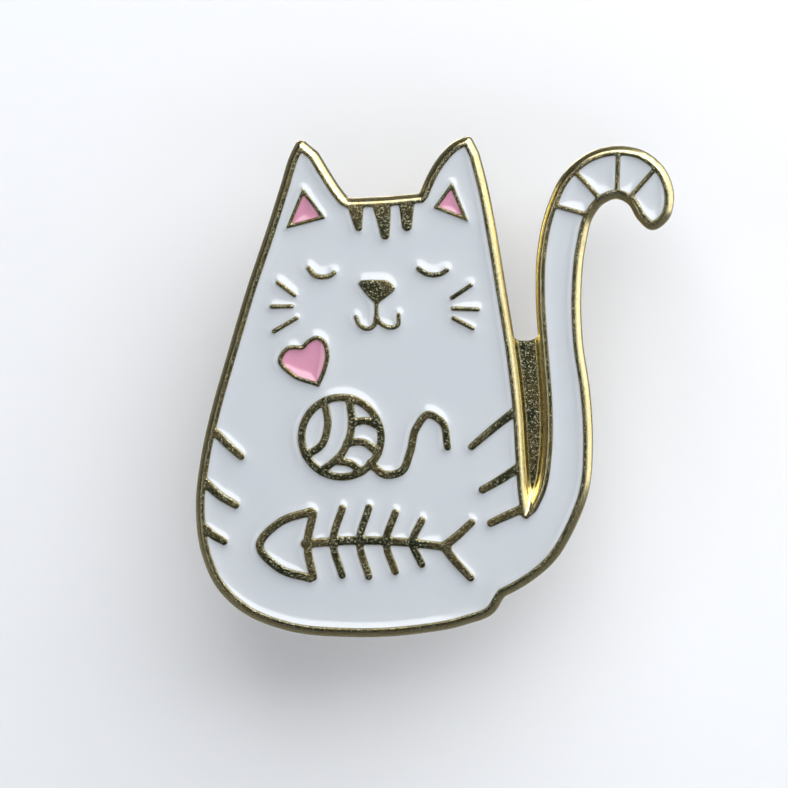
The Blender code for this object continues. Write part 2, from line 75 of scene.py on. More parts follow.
# The figure's outline at the top of its rim, as runs of points (x, z) that meet at corners.
LEFT_SIDE = [
    (-3.95, 14.78), (-4.25, 14.2), (-4.9, 12.2), (-5.6, 10.0), (-6.95, 6.0), (-8.15, 2.0),
    (-9.02, -1.0), (-9.7, -4.0), (-10.03, -7.0), (-9.7, -9.8), (-8.8, -11.8), (-7.3, -13.2),
    (-5.0, -14.15), (-1.0, -14.57), (3.0, -14.35), (6.0, -13.75), (7.5, -13.1), (8.0, -12.3),
]
TAIL = [
    (8.15, -12.1), (9.1, -11.6), (11.1, -10.0), (12.3, -8.0), (13.1, -5.8), (13.3, -3.0), (13.12, 0.0),
    (12.68, 3.0), (12.58, 6.0), (12.87, 9.0), (13.3, 10.6), (14.0, 11.5), (15.0, 11.88),
    (15.85, 11.5), (16.5, 10.5), (17.1, 10.02), (17.8, 10.5), (18.1, 11.6), (17.5, 13.35),
    (16.4, 14.2), (15.0, 14.45), (13.5, 14.1), (12.1, 13.0), (11.1, 11.0), (10.5, 8.0),
    (10.45, 6.0), (10.72, 2.0), (10.93, -1.0), (10.9, -3.6), (10.5, -6.0), (10.05, -6.95),
]
RIGHT_SIDE = [
    (9.6, -7.35), (9.42, -6.2), (9.25, -4.0), (9.08, -1.2), (8.72, 2.0), (8.08, 6.0), (7.4, 10.0),
    (6.9, 12.5), (6.45, 14.2),
]
RIGHT_EAR = [(6.05, 15.0), (5.6, 14.85), (4.65, 14.0), (4.0, 13.0), (3.47, 11.8)]
HEAD_TOP = [(3.3, 11.6), (1.0, 11.4), (-1.1, 11.3)]
LEFT_EAR = [(-1.4, 11.45), (-1.85, 12.0), (-2.5, 13.0), (-3.2, 14.15)]

# The thin floor between the body and the tail; its free edge is the first run.
WEB_EDGE = [(8.3, 3.45), (9.1, 3.08), (9.9, 3.1), (10.9, 3.85)]
WEB_REST = [(11.2, -4.0), (9.9, -8.2), (9.2, -8.2), (8.6, -2.0)]

HEART = [
    [(-3.86, 2.74), (-4.77, 2.68), (-5.3, 1.85), (-4.55, 0.95), (-2.88, 0.3)],
    [(-2.84, 0.3), (-2.42, 1.3), (-2.24, 2.35), (-2.5, 3.1), (-3.0, 3.34), (-3.6, 3.05)],
]
HEART_LINE = 0.23
EARS = [
    [(-3.8, 12.2), (-4.8, 9.8), (-2.45, 10.42)],
    [(5.15, 12.55), (4.05, 11.05), (6.1, 10.25)],
]
EAR_LINE = 0.19
NOSE = [
    [(-0.45, 6.5), (0.05, 5.85), (0.58, 5.32)],
    [(0.66, 5.32), (1.1, 5.65), (1.6, 6.05)],
    [(1.7, 6.25), (1.35, 6.58), (0.5, 6.68), (-0.3, 6.66)],
]

# Raised lines: centre points, then the width at the start and at the end.
FACE_LINES = [
    ([(-3.45, 7.4), (-3.1, 6.98), (-2.65, 6.88), (-2.2, 6.95), (-1.9, 7.15)], 0.32, 0.28),
    ([(3.15, 7.4), (3.55, 7.12), (4.0, 7.02), (4.5, 7.1), (4.87, 7.32)], 0.32, 0.28),
    ([(0.62, 5.5), (0.62, 4.4)], 0.24, 0.24),
    ([(0.62, 4.5), (0.45, 3.95), (0.05, 3.78), (-0.4, 4.0), (-0.62, 4.5)], 0.28, 0.25),
    ([(0.62, 4.45), (0.95, 4.05), (1.45, 3.86), (1.9, 4.0), (1.95, 4.65)], 0.28, 0.25),
]
WHISKERS = [
    ([(-5.3, 6.55), (-4.3, 5.77)], 0.27, 0.25),
    ([(-5.7, 5.1), (-4.45, 5.12)], 0.28, 0.25),
    ([(-5.55, 3.62), (-4.18, 4.42)], 0.29, 0.25),
    ([(5.15, 5.65), (6.3, 6.43)], 0.27, 0.25),
    ([(5.2, 5.02), (6.72, 4.96)], 0.28, 0.25),
    ([(5.25, 4.43), (6.4, 3.83)], 0.29, 0.26),
]
STRIPES = [
    ([(-0.62, 11.2), (-0.56, 10.6), (-0.45, 9.85)], 0.98, 0.44),
    ([(0.92, 11.25), (1.03, 10.5), (1.14, 9.4)], 1.12, 0.54),
    ([(2.42, 11.35), (2.44, 10.7), (2.45, 9.95)], 0.95, 0.62),
    ([(-9.1, -2.5), (-8.35, -3.25), (-7.55, -3.95)], 0.5, 0.44),
    ([(-9.7, -5.55), (-8.8, -6.35), (-7.9, -6.88)], 0.56, 0.48),
    ([(-9.75, -8.3), (-9.2, -8.75), (-8.6, -9.1)], 0.52, 0.46),
    ([(8.85, -1.2), (7.6, -2.2), (6.35, -3.28)], 0.54, 0.44),
    ([(9.05, -4.6), (8.0, -5.3), (7.0, -5.88)], 0.56, 0.48),
    ([(9.3, -7.05), (8.4, -7.45), (7.5, -7.88)], 0.56, 0.48),
]
TAIL_BANDS = [
    ([(11.3, 11.18), (13.22, 10.65)], 0.28, 0.28),
    ([(12.5, 13.2), (13.94, 11.64)], 0.28, 0.28),
    ([(15.06, 14.32), (15.0, 12.02)], 0.28, 0.28),
    ([(17.18, 13.3), (15.74, 11.66)], 0.28, 0.28),
]

# The ball of yarn with its loose end, and the fish bone below it.
BALL_CENTRE = (-1.5, -2.75)
BALL_RADIUS = 2.4
BALL_LINE = 0.46
BALL_TURNS = [
    [(-0.42, 0.9), (-0.34, 0.3), (-0.5, -0.2), (-0.88, -0.46)],
    [(0.2, 0.97), (0.26, 0.25), (0.02, -0.4), (-0.5, -0.86)],
    [(0.27, 0.35), (0.6, 0.42), (0.94, 0.28)],
    [(0.14, -0.15), (0.52, -0.12), (0.92, -0.38)],
    [(-0.14, -0.6), (0.22, -0.66), (0.5, -0.86)],
]
YARN_END = [
    (0.25, -4.3), (1.15, -5.0), (2.1, -4.8), (2.65, -3.6), (3.0, -2.2), (3.75, -1.35),
    (4.55, -1.8), (4.9, -3.3),
]
BONE_SPINE = [(-3.7, -9.2), (-1.0, -9.0), (2.0, -9.05), (4.9, -9.35)]
BONE_HEAD = [
    [(-3.35, -7.25), (-5.2, -7.9), (-6.45, -9.35), (-5.2, -10.75), (-3.4, -11.3)],
    [(-3.2, -11.2), (-3.55, -9.3), (-3.2, -7.35)],
]
BONE_TAIL = [
    ([(4.7, -9.3), (5.5, -8.65), (6.35, -7.85)], 0.54, 0.46),
    ([(4.7, -9.35), (5.45, -10.3), (6.3, -11.2)], 0.54, 0.46),
]
BONE_HEAD_LINE = 0.5
RIB_LENGTHS = {-1.9: 2.0, -0.3: 2.05, 1.3: 1.75, 2.9: 1.3}
RIB_LINE = 0.46
RIB_LEAN = 0.45
RIB_ROOT = -9.05

# --- curves in the plane of the figure


def smooth(points, steps=10):
    """The points, with steps to each span of the curve that runs smoothly through them."""
    if len(points) == 2:
        return [tuple(points[0]), tuple(points[1])]
    slopes = []
    for i, point in enumerate(points):
        before, after = points[max(i - 1, 0)], points[min(i + 1, len(points) - 1)]
        back, ahead = math.dist(before, point), math.dist(point, after)
        if back == 0 or ahead == 0:
            slopes.append([(after[k] - before[k]) / (back + ahead) for k in range(2)])
            continue
        slopes.append([
            ((point[k] - before[k]) / back * ahead + (after[k] - point[k]) / ahead * back) / (back + ahead)
            for k in range(2)
        ])
    made = []
    for i in range(len(points) - 1):
        length = math.dist(points[i], points[i + 1])
        for step in range(steps):
            t = step / steps
            low, high = 2 * t**3 - 3 * t**2 + 1, 3 * t**2 - 2 * t**3
            leave, arrive = (t**3 - 2 * t**2 + t) * length, (t**3 - t**2) * length
            made.append(tuple(
                low * points[i][k] + high * points[i + 1][k]
                + leave * slopes[i][k] + arrive * slopes[i + 1][k]
                for k in range(2)
            ))
    return made + [tuple(points[-1])]


def loop(runs, steps=10):
    return [point for run in runs for point in smooth(run, steps)]


# --- distance fields over the figure
PITCH = 0.05
FAR = 1.6
XS = np.arange(-11.6, 19.6, PITCH)
ZS = np.arange(-16.0, 16.4, PITCH)


def empty_field():
    return np.full((len(XS), len(ZS)), FAR)


def add_line(field, points, start, end):
    """Lowers the field to the distance from a line whose half width runs from start to end."""
    points = [tuple(p) for p in points]
    lengths = np.cumsum([0.0] + [math.dist(a, b) for a, b in zip(points, points[1:])])
    halves = start + (end - start) * lengths / lengths[-1]
    for a, b, ra, rb in zip(points, points[1:], halves, halves[1:]):
        reach = FAR + max(ra, rb)
        i0, i1 = np.searchsorted(XS, [min(a[0], b[0]) - reach, max(a[0], b[0]) + reach])
        j0, j1 = np.searchsorted(ZS, [min(a[1], b[1]) - reach, max(a[1], b[1]) + reach])
        x, z = XS[i0:i1, None] - a[0], ZS[None, j0:j1] - a[1]
        dx, dz = b[0] - a[0], b[1] - a[1]
        t = np.clip((x * dx + z * dz) / (dx * dx + dz * dz), 0, 1)
        away = np.hypot(x - t * dx, z - t * dz) - (ra + (rb - ra) * t)
        field[i0:i1, j0:j1] = np.minimum(field[i0:i1, j0:j1], away)


def line_field(points, start_width, end_width):
    field = empty_field()
    add_line(field, points, start_width / 2, end_width / 2)
    return field


def area_field(outline):
    """Distance from the closed outline, negative inside it."""
    field = empty_field()
    add_line(field, list(outline) + [outline[0]], 0.0, 0.0)
    inside = np.zeros(field.shape, bool)
    for i, (x1, z1) in enumerate(outline):
        x0, z0 = outline[i - 1]
        rows = (ZS > min(z0, z1)) & (ZS <= max(z0, z1))
        if rows.any():
            cross = x0 + (ZS[rows] - z0) * (x1 - x0) / (z1 - z0)
            inside[:, rows] ^= XS[:, None] < cross[None, :]
    return np.where(inside, -field, field)


def blend_min(first, second, fillet):
    """The lower of two fields, with a fillet where they meet."""
    share = np.clip(0.5 + 0.5 * (second - first) / fillet, 0, 1)
    return second * (1 - share) + first * share - fillet * share * (1 - share)


def sample(field, points):
    """The field at points (x, z), between its grid points."""
    points = np.asarray(points, float).reshape(-1, 2)
    u = np.clip((points[:, 0] - XS[0]) / PITCH, 0, len(XS) - 1.001)
    v = np.clip((points[:, 1] - ZS[0]) / PITCH, 0, len(ZS) - 1.001)
    i, j = u.astype(int), v.astype(int)
    u, v = u - i, v - j
    return (
        field[i, j] * (1 - u) * (1 - v) + field[i + 1, j] * u * (1 - v)
        + field[i, j + 1] * (1 - u) * v + field[i + 1, j + 1] * u * v
    )


BOTTOM, RIGHT, TOP, LEFT = (0, 0, 0), (1, 1, 0), (0, 0, 1), (1, 0, 0)
CELL_CASES = {
    1: [(BOTTOM, LEFT)], 2: [(RIGHT, BOTTOM)], 4: [(TOP, RIGHT)], 8: [(LEFT, TOP)],
    3: [(RIGHT, LEFT)], 6: [(TOP, BOTTOM)], 12: [(LEFT, RIGHT)], 9: [(BOTTOM, TOP)],
    7: [(TOP, LEFT)], 11: [(RIGHT, TOP)], 13: [(BOTTOM, RIGHT)], 14: [(LEFT, BOTTOM)],
}


def contours(field, level, spacing):
    """Closed loops along which the field has this value, evened out to the spacing, low side on the left."""
    v = field - level
    v = np.where(np.abs(v) < 1e-9, 1e-9, v)
    low = v < 0
    case = low[:-1, :-1] * 1 + low[1:, :-1] * 2 + low[1:, 1:] * 4 + low[:-1, 1:] * 8
    joined = {(5, True): (13, 7), (5, False): (1, 4), (10, True): (14, 11), (10, False): (2, 8)}
    following = {}
    for i, j in np.argwhere((case > 0) & (case < 15)).tolist():
        kind = int(case[i, j])
        if kind in (5, 10):
            middle = v[i, j] + v[i + 1, j] + v[i, j + 1] + v[i + 1, j + 1] < 0
            pairs = [pair for part in joined[(kind, bool(middle))] for pair in CELL_CASES[part]]
        else:
            pairs = CELL_CASES[kind]
        for start, end in pairs:
            following[(start[0], i + start[1], j + start[2])] = (end[0], i + end[1], j + end[2])
    loops = []
    while following:
        first, key = following.popitem()
        keys = [first]
        while key != first and key in following:
            keys.append(key)
            key = following.pop(key)
        ids = np.array(keys)
        along_z, i, j = ids[:, 0], ids[:, 1], ids[:, 2]
        a, b = v[i, j], v[i + 1 - along_z, j + along_z]
        share = a / (a - b)
        points = np.stack([XS[i] + PITCH * share * (1 - along_z), ZS[j] + PITCH * share * along_z], 1)
        loops.append(even(points, spacing))
    return [points for points in loops if len(points) > 5]


def even(points, spacing):
    """The closed loop, calmed a little and cut into equal steps."""
    for _ in range(2):
        points = 0.25 * np.roll(points, 1, 0) + 0.5 * points + 0.25 * np.roll(points, -1, 0)
    closed = np.vstack([points, points[:1]])
    run = np.concatenate([[0], np.cumsum(np.hypot(*np.diff(closed, axis=0).T))])
    count = max(int(round(run[-1] / spacing)), 6)
    at = np.arange(count) * run[-1] / count
    return np.stack([np.interp(at, run, closed[:, 0]), np.interp(at, run, closed[:, 1])], 1)


def triangulate(fixed, loose):
    """Points and triangles of a plan inside the fixed loops, less the holes that loops within them make."""
    points, edges = [], []
    for ring in fixed:
        first = len(points)
        points += [tuple(p) for p in ring]
        edges += [(first + k, first + (k + 1) % len(ring)) for k in range(len(ring))]
    for group in loose:
        points += [tuple(p) for p in group]
    found = delaunay_2d_cdt([Vector(p) for p in points], edges, [], 0, 1e-7)
    plan = np.array([tuple(p) for p in found[0]])
    walls = {tuple(sorted(edge)) for edge, source in zip(found[1], found[4]) if source}
    faces = np.array([tuple(face) for face, inside in zip(found[2], inside_walls(found[2], walls)) if inside])
    a, b, c = plan[faces[:, 0]], plan[faces[:, 1]], plan[faces[:, 2]]
    turn = (b[:, 0] - a[:, 0]) * (c[:, 1] - a[:, 1]) - (b[:, 1] - a[:, 1]) * (c[:, 0] - a[:, 0])
    faces = np.where((turn > 0)[:, None], faces, faces[:, ::-1])
    return plan, faces[np.abs(turn) > 1e-9]


def inside_walls(faces, walls):
    """Whether each triangle has an odd number of walls between it and the outside."""
    beside = {}
    for index, face in enumerate(faces):
        for k in range(3):
            beside.setdefault(tuple(sorted((face[k], face[(k + 1) % 3]))), []).append(index)
    state = [None] * len(faces)
    waiting = [(pair[0], edge in walls) for edge, pair in beside.items() if len(pair) == 1]
    while waiting:
        index, inside = waiting.pop()
        if state[index] is not None:
            continue
        state[index] = inside
        face = faces[index]
        for k in range(3):
            edge = tuple(sorted((face[k], face[(k + 1) % 3])))
            for other in beside[edge]:
                if state[other] is None:
                    waiting.append((other, inside != (edge in walls)))
    return state


def relief_fields():
    """The figure's area, the area of the web, and the raised metal seen from inside the rim."""
    figure = area_field(loop([LEFT_SIDE, TAIL, RIGHT_SIDE, RIGHT_EAR, HEAD_TOP, LEFT_EAR]))
    web = area_field(smooth(WEB_EDGE) + WEB_REST)
    lines = FACE_LINES + WHISKERS + STRIPES + TAIL_BANDS + BONE_TAIL
    lines = lines + [(YARN_END, 0.5, 0.44), (BONE_SPINE, 0.54, 0.5)]
    for turn in BALL_TURNS:
        points = [(BALL_CENTRE[0] + x * BALL_RADIUS, BALL_CENTRE[1] + z * BALL_RADIUS) for x, z in turn]
        lines.append((points, BALL_LINE, BALL_LINE))
    for x, length in RIB_LENGTHS.items():
        upper, lower = RIB_ROOT + length, RIB_ROOT - 0.05 - length
        points = [(x + RIB_LEAN, upper), (x - 0.1, RIB_ROOT), (x + RIB_LEAN, lower)]
        lines.append((points, RIB_LINE, RIB_LINE))
    metal = -(figure + RIM_WIDTH)
    for points, start, end in lines:
        metal = blend_min(metal, line_field(smooth(points), start, end), FILLET)
    ring = np.abs(np.hypot(XS[:, None] - BALL_CENTRE[0], ZS[None, :] - BALL_CENTRE[1]) - BALL_RADIUS)
    metal = blend_min(metal, ring - BALL_LINE / 2, FILLET)
    metal = blend_min(metal, np.abs(area_field(loop(BONE_HEAD))) - BONE_HEAD_LINE / 2, FILLET)
    metal = blend_min(metal, area_field(loop(NOSE)) - 0.05, FILLET)
    for outline, width in [(loop(HEART), HEART_LINE)] + [(ear, EAR_LINE) for ear in EARS]:
        area = area_field(outline)
        metal = blend_min(metal, np.maximum(area - 0.03, -(area + width)), 0.04)
    return figure, web, metal


def screened(metal, reach):
    """1 at the metal and dying away from it over the reach, smooth in the middle of every cell."""
    held = metal <= 0
    edge = np.exp(-metal / reach)
    calm = np.where(held, edge, np.minimum(edge, 1.0))
    pull = 4 + (PITCH / reach) ** 2
    for _ in range(int(12 * reach / PITCH) + 20):
        around = np.zeros_like(calm)
        around[1:-1, 1:-1] = calm[2:, 1:-1] + calm[:-2, 1:-1] + calm[1:-1, 2:] + calm[1:-1, :-2]
        calm = np.where(held, edge, around / pull)
    return calm


FIGURE, WEB, METAL = relief_fields()
FOOT = np.minimum(FIGURE - SLOPE_WIDTH, WEB)
RISE = screened(METAL, CLIMB_REACH)

# --- heights, as distances in front of the back


def shoulder(distance, width, drop):
    """How far a rounded shoulder has dropped, from 0 where it starts to the whole drop at its edge."""
    into = np.clip(distance / width + 1, 0, 1)
    return drop * (1 - np.sqrt(1 - into**2))


def outer_height(figure):
    sloped = LINE_TOP - 0.5 * (figure + np.hypot(figure, CREST_ROUND))
    return sloped - SKIRT_SLOPE * np.clip(figure - SLOPE_WIDTH, 0, SKIRT_WIDTH)


def inner_height(metal):
    wall = LINE_TOP - SHOULDER_DROP - np.clip(metal / 0.04, 0, 1) * (LINE_TOP - SHOULDER_DROP - POCKET_FLOOR)
    return np.where(metal < 0, LINE_TOP - shoulder(metal, SHOULDER_WIDTH, SHOULDER_DROP), wall)


def front_height(points):
    figure, web, metal = sample(FIGURE, points), sample(WEB, points), sample(METAL, points)
    height = np.minimum(outer_height(figure), inner_height(metal))
    web_height = WEB_TOP - shoulder(web, WEB_ROUND, WEB_ROUND)
    return np.where((web < 1e-3) & (figure > 0), np.maximum(height, web_height), height)


def enamel_height(points):
    return ENAMEL_LEVEL + ENAMEL_CLIMB * sample(RISE, points)


# --- turning arrays into finished pieces


def finish_mesh(name, verts, faces, paint, body, stands_for=()):
    """A piece from places in metres and lists of corners."""
    mesh = bpy.data.meshes.new(name)
    mesh.from_pydata([tuple(v) for v in verts], [], [tuple(int(i) for i in face) for face in faces])
    return finish_piece(name, mesh, paint, body, stands_for)


def finish_piece(name, mesh, paint, body, stands_for=(), weld=1e-7):
    """The mesh as an object: welded, facing out, shaded smooth, painted, and riding on its body."""
    shape = bmesh.new()
    shape.from_mesh(mesh)
    bmesh.ops.remove_doubles(shape, verts=shape.verts, dist=weld)
    bmesh.ops.recalc_face_normals(shape, faces=shape.faces)
    shape.to_mesh(mesh)
    shape.free()
    mesh.polygons.foreach_set("use_smooth", [True] * len(mesh.polygons))
    mesh.update()
    obj = carrier_of(name, mesh)
    mesh.materials.clear()
    mesh.materials.append(paint)
    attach(obj, body)
    if stands_for:
        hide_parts(*stands_for)
    return obj


def carrier_of(name, data):
    """A new object of the scene that holds this mesh or curve."""
    obj = bpy.data.objects.new(name, data)
    bpy.context.scene.collection.objects.link(obj)
    return obj


def store(obj, name, values):
    """Keeps one value for each point of the mesh as an attribute that its paint reads."""
    kept = obj.data.attributes.new(name, "FLOAT", "POINT")
    kept.data.foreach_set("value", np.asarray(values, np.float32))


def lift(plan, heights):
    """Plan points and heights in millimetres as places in metres."""
    return np.stack([plan[:, 0], -heights, plan[:, 1]], 1) * MM


def lattice(x_range, z_range, step):
    """Points (x, z) on a square grid."""
    x, z = np.meshgrid(np.arange(*x_range, step), np.arange(*z_range, step), indexing="ij")
    return np.stack([x.ravel(), z.ravel()], 1)


def side_wall(ring, tops, bottom, first):
    """The upright band below a loop: its places, and its faces with corners counted from first."""
    k = np.arange(len(ring))
    after = (k + 1) % len(ring)
    under = first + len(ring)
    faces = np.stack([first + k, under + k, under + after, first + after], 1)
    return [lift(ring, tops), lift(ring, np.full(len(ring), bottom))], faces


METAL_RINGS = (-0.16, -0.12, -0.08, -0.05, -0.025, -0.008, 0.0, 0.04)
FIGURE_RINGS = (-0.12, -0.06, -0.02, 0.02, 0.06, 0.12, 0.21, 0.3, 0.36, 0.46, 0.56)
ENAMEL_RINGS = (0.02, 0.05, 0.09, 0.14, 0.2, 0.28, 0.38, 0.52)
RIM_STEP = 0.16
WEB_GRAIN = 0.11


def web_grains(seed):
    """Scattered points that roughen the web."""
    grains = lattice((8.4, 11.2), (-7.6, 3.6), WEB_GRAIN)
    grains += seed.uniform(-0.03, 0.03, grains.shape)
    return grains[(sample(WEB, grains) < -0.09) & (sample(FIGURE, grains) > 0.6)]


def make_plate(paint):
    """The struck plate: a relief over the figure and the web, a wall round it, and a flat chamfered back."""
    rim = contours(FOOT, 0.0, RIM_STEP)
    levels = [(METAL, level) for level in METAL_RINGS] + [(FIGURE, level) for level in FIGURE_RINGS]
    inner = [ring for field, level in levels for ring in contours(field, level, 0.14)]
    inner = [ring[sample(FOOT, ring) < -0.022] for ring in inner]
    seed = np.random.default_rng(4)
    plan, faces = triangulate(rim, inner + [web_grains(seed)])
    in_web = (sample(WEB, plan) < -0.08) & (sample(FIGURE, plan) > 0.58)
    heights = front_height(plan) + np.where(in_web, seed.uniform(-0.01, 0.01, len(plan)), 0)
    verts, groups = [lift(plan, heights)], [faces]
    count = len(plan)
    for ring in rim:
        places, quads = side_wall(ring, front_height(ring), BACK_CHAMFER, count)
        verts += places
        groups.append(quads)
        count += 2 * len(ring)
    back, back_faces = triangulate(rim, contours(FOOT, -0.06, RIM_STEP))
    verts.append(lift(back, np.where(sample(FOOT, back) > -0.03, BACK_CHAMFER, 0.0)))
    groups.append(back_faces[:, ::-1] + count)
    faces = [face for group in groups for face in group]
    plate = finish_mesh("plated_relief", np.vstack(verts), faces, paint, "badge", ["badge_plate"])
    mask_plate(plate)


def mask_plate(plate):
    """Stores where the plate is rubbed (edge), where it is grained and painted with shade (top), and where it
    is coarse and painted with shade (web).
    """
    co = np.array([v.co for v in plate.data.vertices]) / MM
    plan, height = co[:, [0, 2]], -co[:, 1]
    figure, metal = sample(FIGURE, plan), sample(METAL, plan)
    on_front = height > WEB_TOP + 0.1
    inner_edge = 0.12 * np.exp(-(((metal + 0.03) / 0.035) ** 2))
    outer_edge = 0.7 * np.exp(-((figure / 0.05) ** 2))
    store(plate, "edge", np.where(on_front, np.maximum(inner_edge, outer_edge), 0))
    # Painted shade: the flat tops take the dark colour for the dark that they reflect, and the walls down
    # into the pockets nearly as much. The shoulders between take at least 0.55 of it, which dims the lower
    # shoulders all round. The outer slope takes none.
    shade = np.maximum(np.clip((-metal - 0.01) / 0.035, 0, 1), 0.9 * np.clip((metal + 0.004) / 0.012, 0, 1))
    within = np.clip((-figure - 0.01) / 0.05, 0, 1)
    store(plate, "top", np.where(on_front, np.maximum(shade, 0.55) * within, 0))
    # The web: coarse grain, and the same painted shade for its recess.
    store(plate, "web", (height < WEB_TOP + 0.04) & (height > WEB_TOP - 0.09) & (figure > 0.5))


def match_node(low, high):
    """The enamel node whose box is nearest to this one."""
    def gap(name):
        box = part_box(name)
        return sum(abs(box[0][k] - low[k]) + abs(box[1][k] - high[k]) for k in (0, 2))
    return min((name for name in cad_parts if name.startswith("enamel_")), key=gap)


def plan_key(point):
    return round(point[0], 5), round(point[1], 5)


def make_enamel(white, pink):
    """A closed fill for each pocket: a top that climbs the metal, a flat underside, and a wall between."""
    bound = contours(METAL, -ENAMEL_LAP, 0.12)
    rings = [ring for level in ENAMEL_RINGS for ring in contours(METAL, level, 0.13)]
    middle = lattice((-10, 18), (-14.6, 15), 0.36)
    middle[::2] += 0.02
    middle = middle[sample(METAL, middle) > 0.66]
    plan, faces = triangulate(bound, rings + [middle])
    under, under_faces = triangulate(bound, [])
    owner = islands_of(len(plan), faces)
    owner_at = {plan_key(point): owner[index] for index, point in enumerate(plan)}
    pockets = {}
    for face in faces:
        pockets.setdefault(owner[face[0]], [[], [], []])[0].append(face)
    for face in under_faces:
        found = next((key for key in (plan_key(under[corner]) for corner in face) if key in owner_at), None)
        if found:
            pockets[owner_at[found]][1].append(face)
    for ring in bound:
        pocket = pockets.get(owner_at.get(plan_key(ring[0])))
        if pocket:
            pocket[2].append(ring)
    sheets = [lift(plan, enamel_height(plan)), lift(under, np.full(len(under), ENAMEL_UNDERSIDE))]
    for tops, lows, edges in pockets.values():
        verts, groups = list(sheets), [np.array(tops), np.array(lows)[:, ::-1] + len(plan)]
        count = len(plan) + len(under)
        for ring in edges:
            places, quads = side_wall(ring, enamel_height(ring), ENAMEL_UNDERSIDE, count)
            verts += places
            groups.append(quads)
            count += 2 * len(ring)
        make_fill(np.vstack(verts), groups, white, pink)


def make_fill(verts, groups, white, pink):
    """One fill from the faces of its groups, without the places that they don't use."""
    used = np.unique(np.concatenate([group.ravel() for group in groups]))
    place = np.full(len(verts), -1)
    place[used] = np.arange(len(used))
    faces = [place[face] for group in groups for face in group]
    verts = verts[used]
    node_name = match_node(verts.min(0), verts.max(0))
    is_pink = node_name in ("enamel_heart", "enamel_ear_left", "enamel_ear_right")
    paint, slot = (pink, "enamel_pink") if is_pink else (white, "enamel_white")
    finish_mesh(node_name.replace("enamel_", "fill_"), verts, faces, paint, "badge", [node_name])


def islands_of(count, faces):
    """A number for each point that tells which separate island of triangles it belongs to."""
    owner = np.arange(count)
    while True:
        least = owner[faces].min(1)
        changed = owner.copy()
        for corner in range(3):
            np.minimum.at(changed, faces[:, corner], least)
        changed = changed[changed]
        if (changed == owner).all():
            return owner
        owner = changed


def mark_edges(obj):
    """Stores how sharply each corner of the mesh stands out, from 0 to 1, as the attribute edge."""
    shape = bmesh.new()
    shape.from_mesh(obj.data)
    values = np.zeros(len(shape.verts), np.float32)
    for edge in shape.edges:
        if len(edge.link_faces) == 2:
            bend = edge.calc_face_angle_signed(0.0)
            for vert in edge.verts:
                values[vert.index] = max(values[vert.index], min(max((bend - 0.12) / 0.5, 0.0), 1.0))
    shape.free()
    store(obj, "edge", values)


# --- material groups


def node_group(name, inputs, outputs):
    """A shader group with named value inputs (name: default) and named value outputs."""
    tree = bpy.data.node_groups.new(name, "ShaderNodeTree")
    for label, value in inputs.items():
        socket = tree.interface.new_socket(label, in_out="INPUT", socket_type="NodeSocketFloat")
        socket.default_value = value
    for label in outputs:
        tree.interface.new_socket(label, in_out="OUTPUT", socket_type="NodeSocketFloat")
    return tree, tree.nodes.new("NodeGroupInput").outputs, tree.nodes.new("NodeGroupOutput")


def join(tree, socket, value):
    """Links the value to the socket when it is an output, and makes it the socket's constant otherwise."""
    if isinstance(value, bpy.types.NodeSocket):
        tree.links.new(value, socket)
    else:
        socket.default_value = value


def give(tree, made, **inputs):
    """Joins the inputs by name; _ stands for a space, and i0, i1 for a socket's place."""
    for key, value in inputs.items():
        by_place = key[0] == "i" and key[1:].isdigit()
        join(tree, made.inputs[int(key[1:]) if by_place else key.replace("_", " ")], value)


def node(tree, kind, settings=(), **inputs):
    """A node with its settings made and its inputs joined."""
    made = tree.nodes.new(kind)
    for key, value in dict(settings).items():
        setattr(made, key, value)
    give(tree, made, **inputs)
    return made


def use_group(tree, group, **inputs):
    """The outputs of a group that is used with these inputs."""
    return node(tree, "ShaderNodeGroup", {"node_tree": group}, **inputs).outputs


def maths(tree, operation, first, second, clamp=False):
    settings = {"operation": operation, "use_clamp": clamp}
    return node(tree, "ShaderNodeMath", settings, i0=first, i1=second).outputs[0]


def times(tree, first, second):
    return maths(tree, "MULTIPLY", first, second)


def plus(tree, first, second):
    return maths(tree, "ADD", first, second)


def remap(tree, value, low, high, to_low=0.0, to_high=1.0):
    made = node(tree, "ShaderNodeMapRange", {"interpolation_type": "SMOOTHSTEP"}, Value=value, From_Min=low,
                From_Max=high, To_Min=to_low, To_Max=to_high)
    return made.outputs[0]


def object_place(tree):
    return node(tree, "ShaderNodeTexCoord").outputs["Object"]


def noise(tree, place, scale, detail, roughness):
    made = node(tree, "ShaderNodeTexNoise", Vector=place, Scale=scale, Detail=detail, Roughness=roughness)
    return made.outputs["Fac"]


def grain_group():
    """Fine plated grain: small pits and grains, broader cloudiness, cells that the plate lights as painted
    glints, and a few dull specks.
    """
    tree, into, out = node_group("plated grain", {"Fine Scale": 14000.0, "Broad Scale": 420.0},
                                 ("Height", "Grain", "Flecks", "Cloud", "Specks"))
    place = object_place(tree)
    fine = noise(tree, place, into["Fine Scale"], 3.0, 0.62)
    cells = node(tree, "ShaderNodeTexVoronoi", Vector=place, Scale=into["Fine Scale"])
    broad = noise(tree, place, into["Broad Scale"], 3.0, 0.55)
    specks = noise(tree, place, times(tree, into["Broad Scale"], 5.0), 2.0, 0.5)
    pick = node(tree, "ShaderNodeSeparateColor", Color=cells.outputs["Color"]).outputs[0]
    give(tree, out, Height=plus(tree, times(tree, cells.outputs["Distance"], 0.45), fine),
         Grain=remap(tree, fine, 0.35, 0.68), Flecks=remap(tree, pick, 0.68, 0.9),
         Cloud=remap(tree, broad, 0.36, 0.64), Specks=remap(tree, specks, 0.6, 0.72))
    return tree


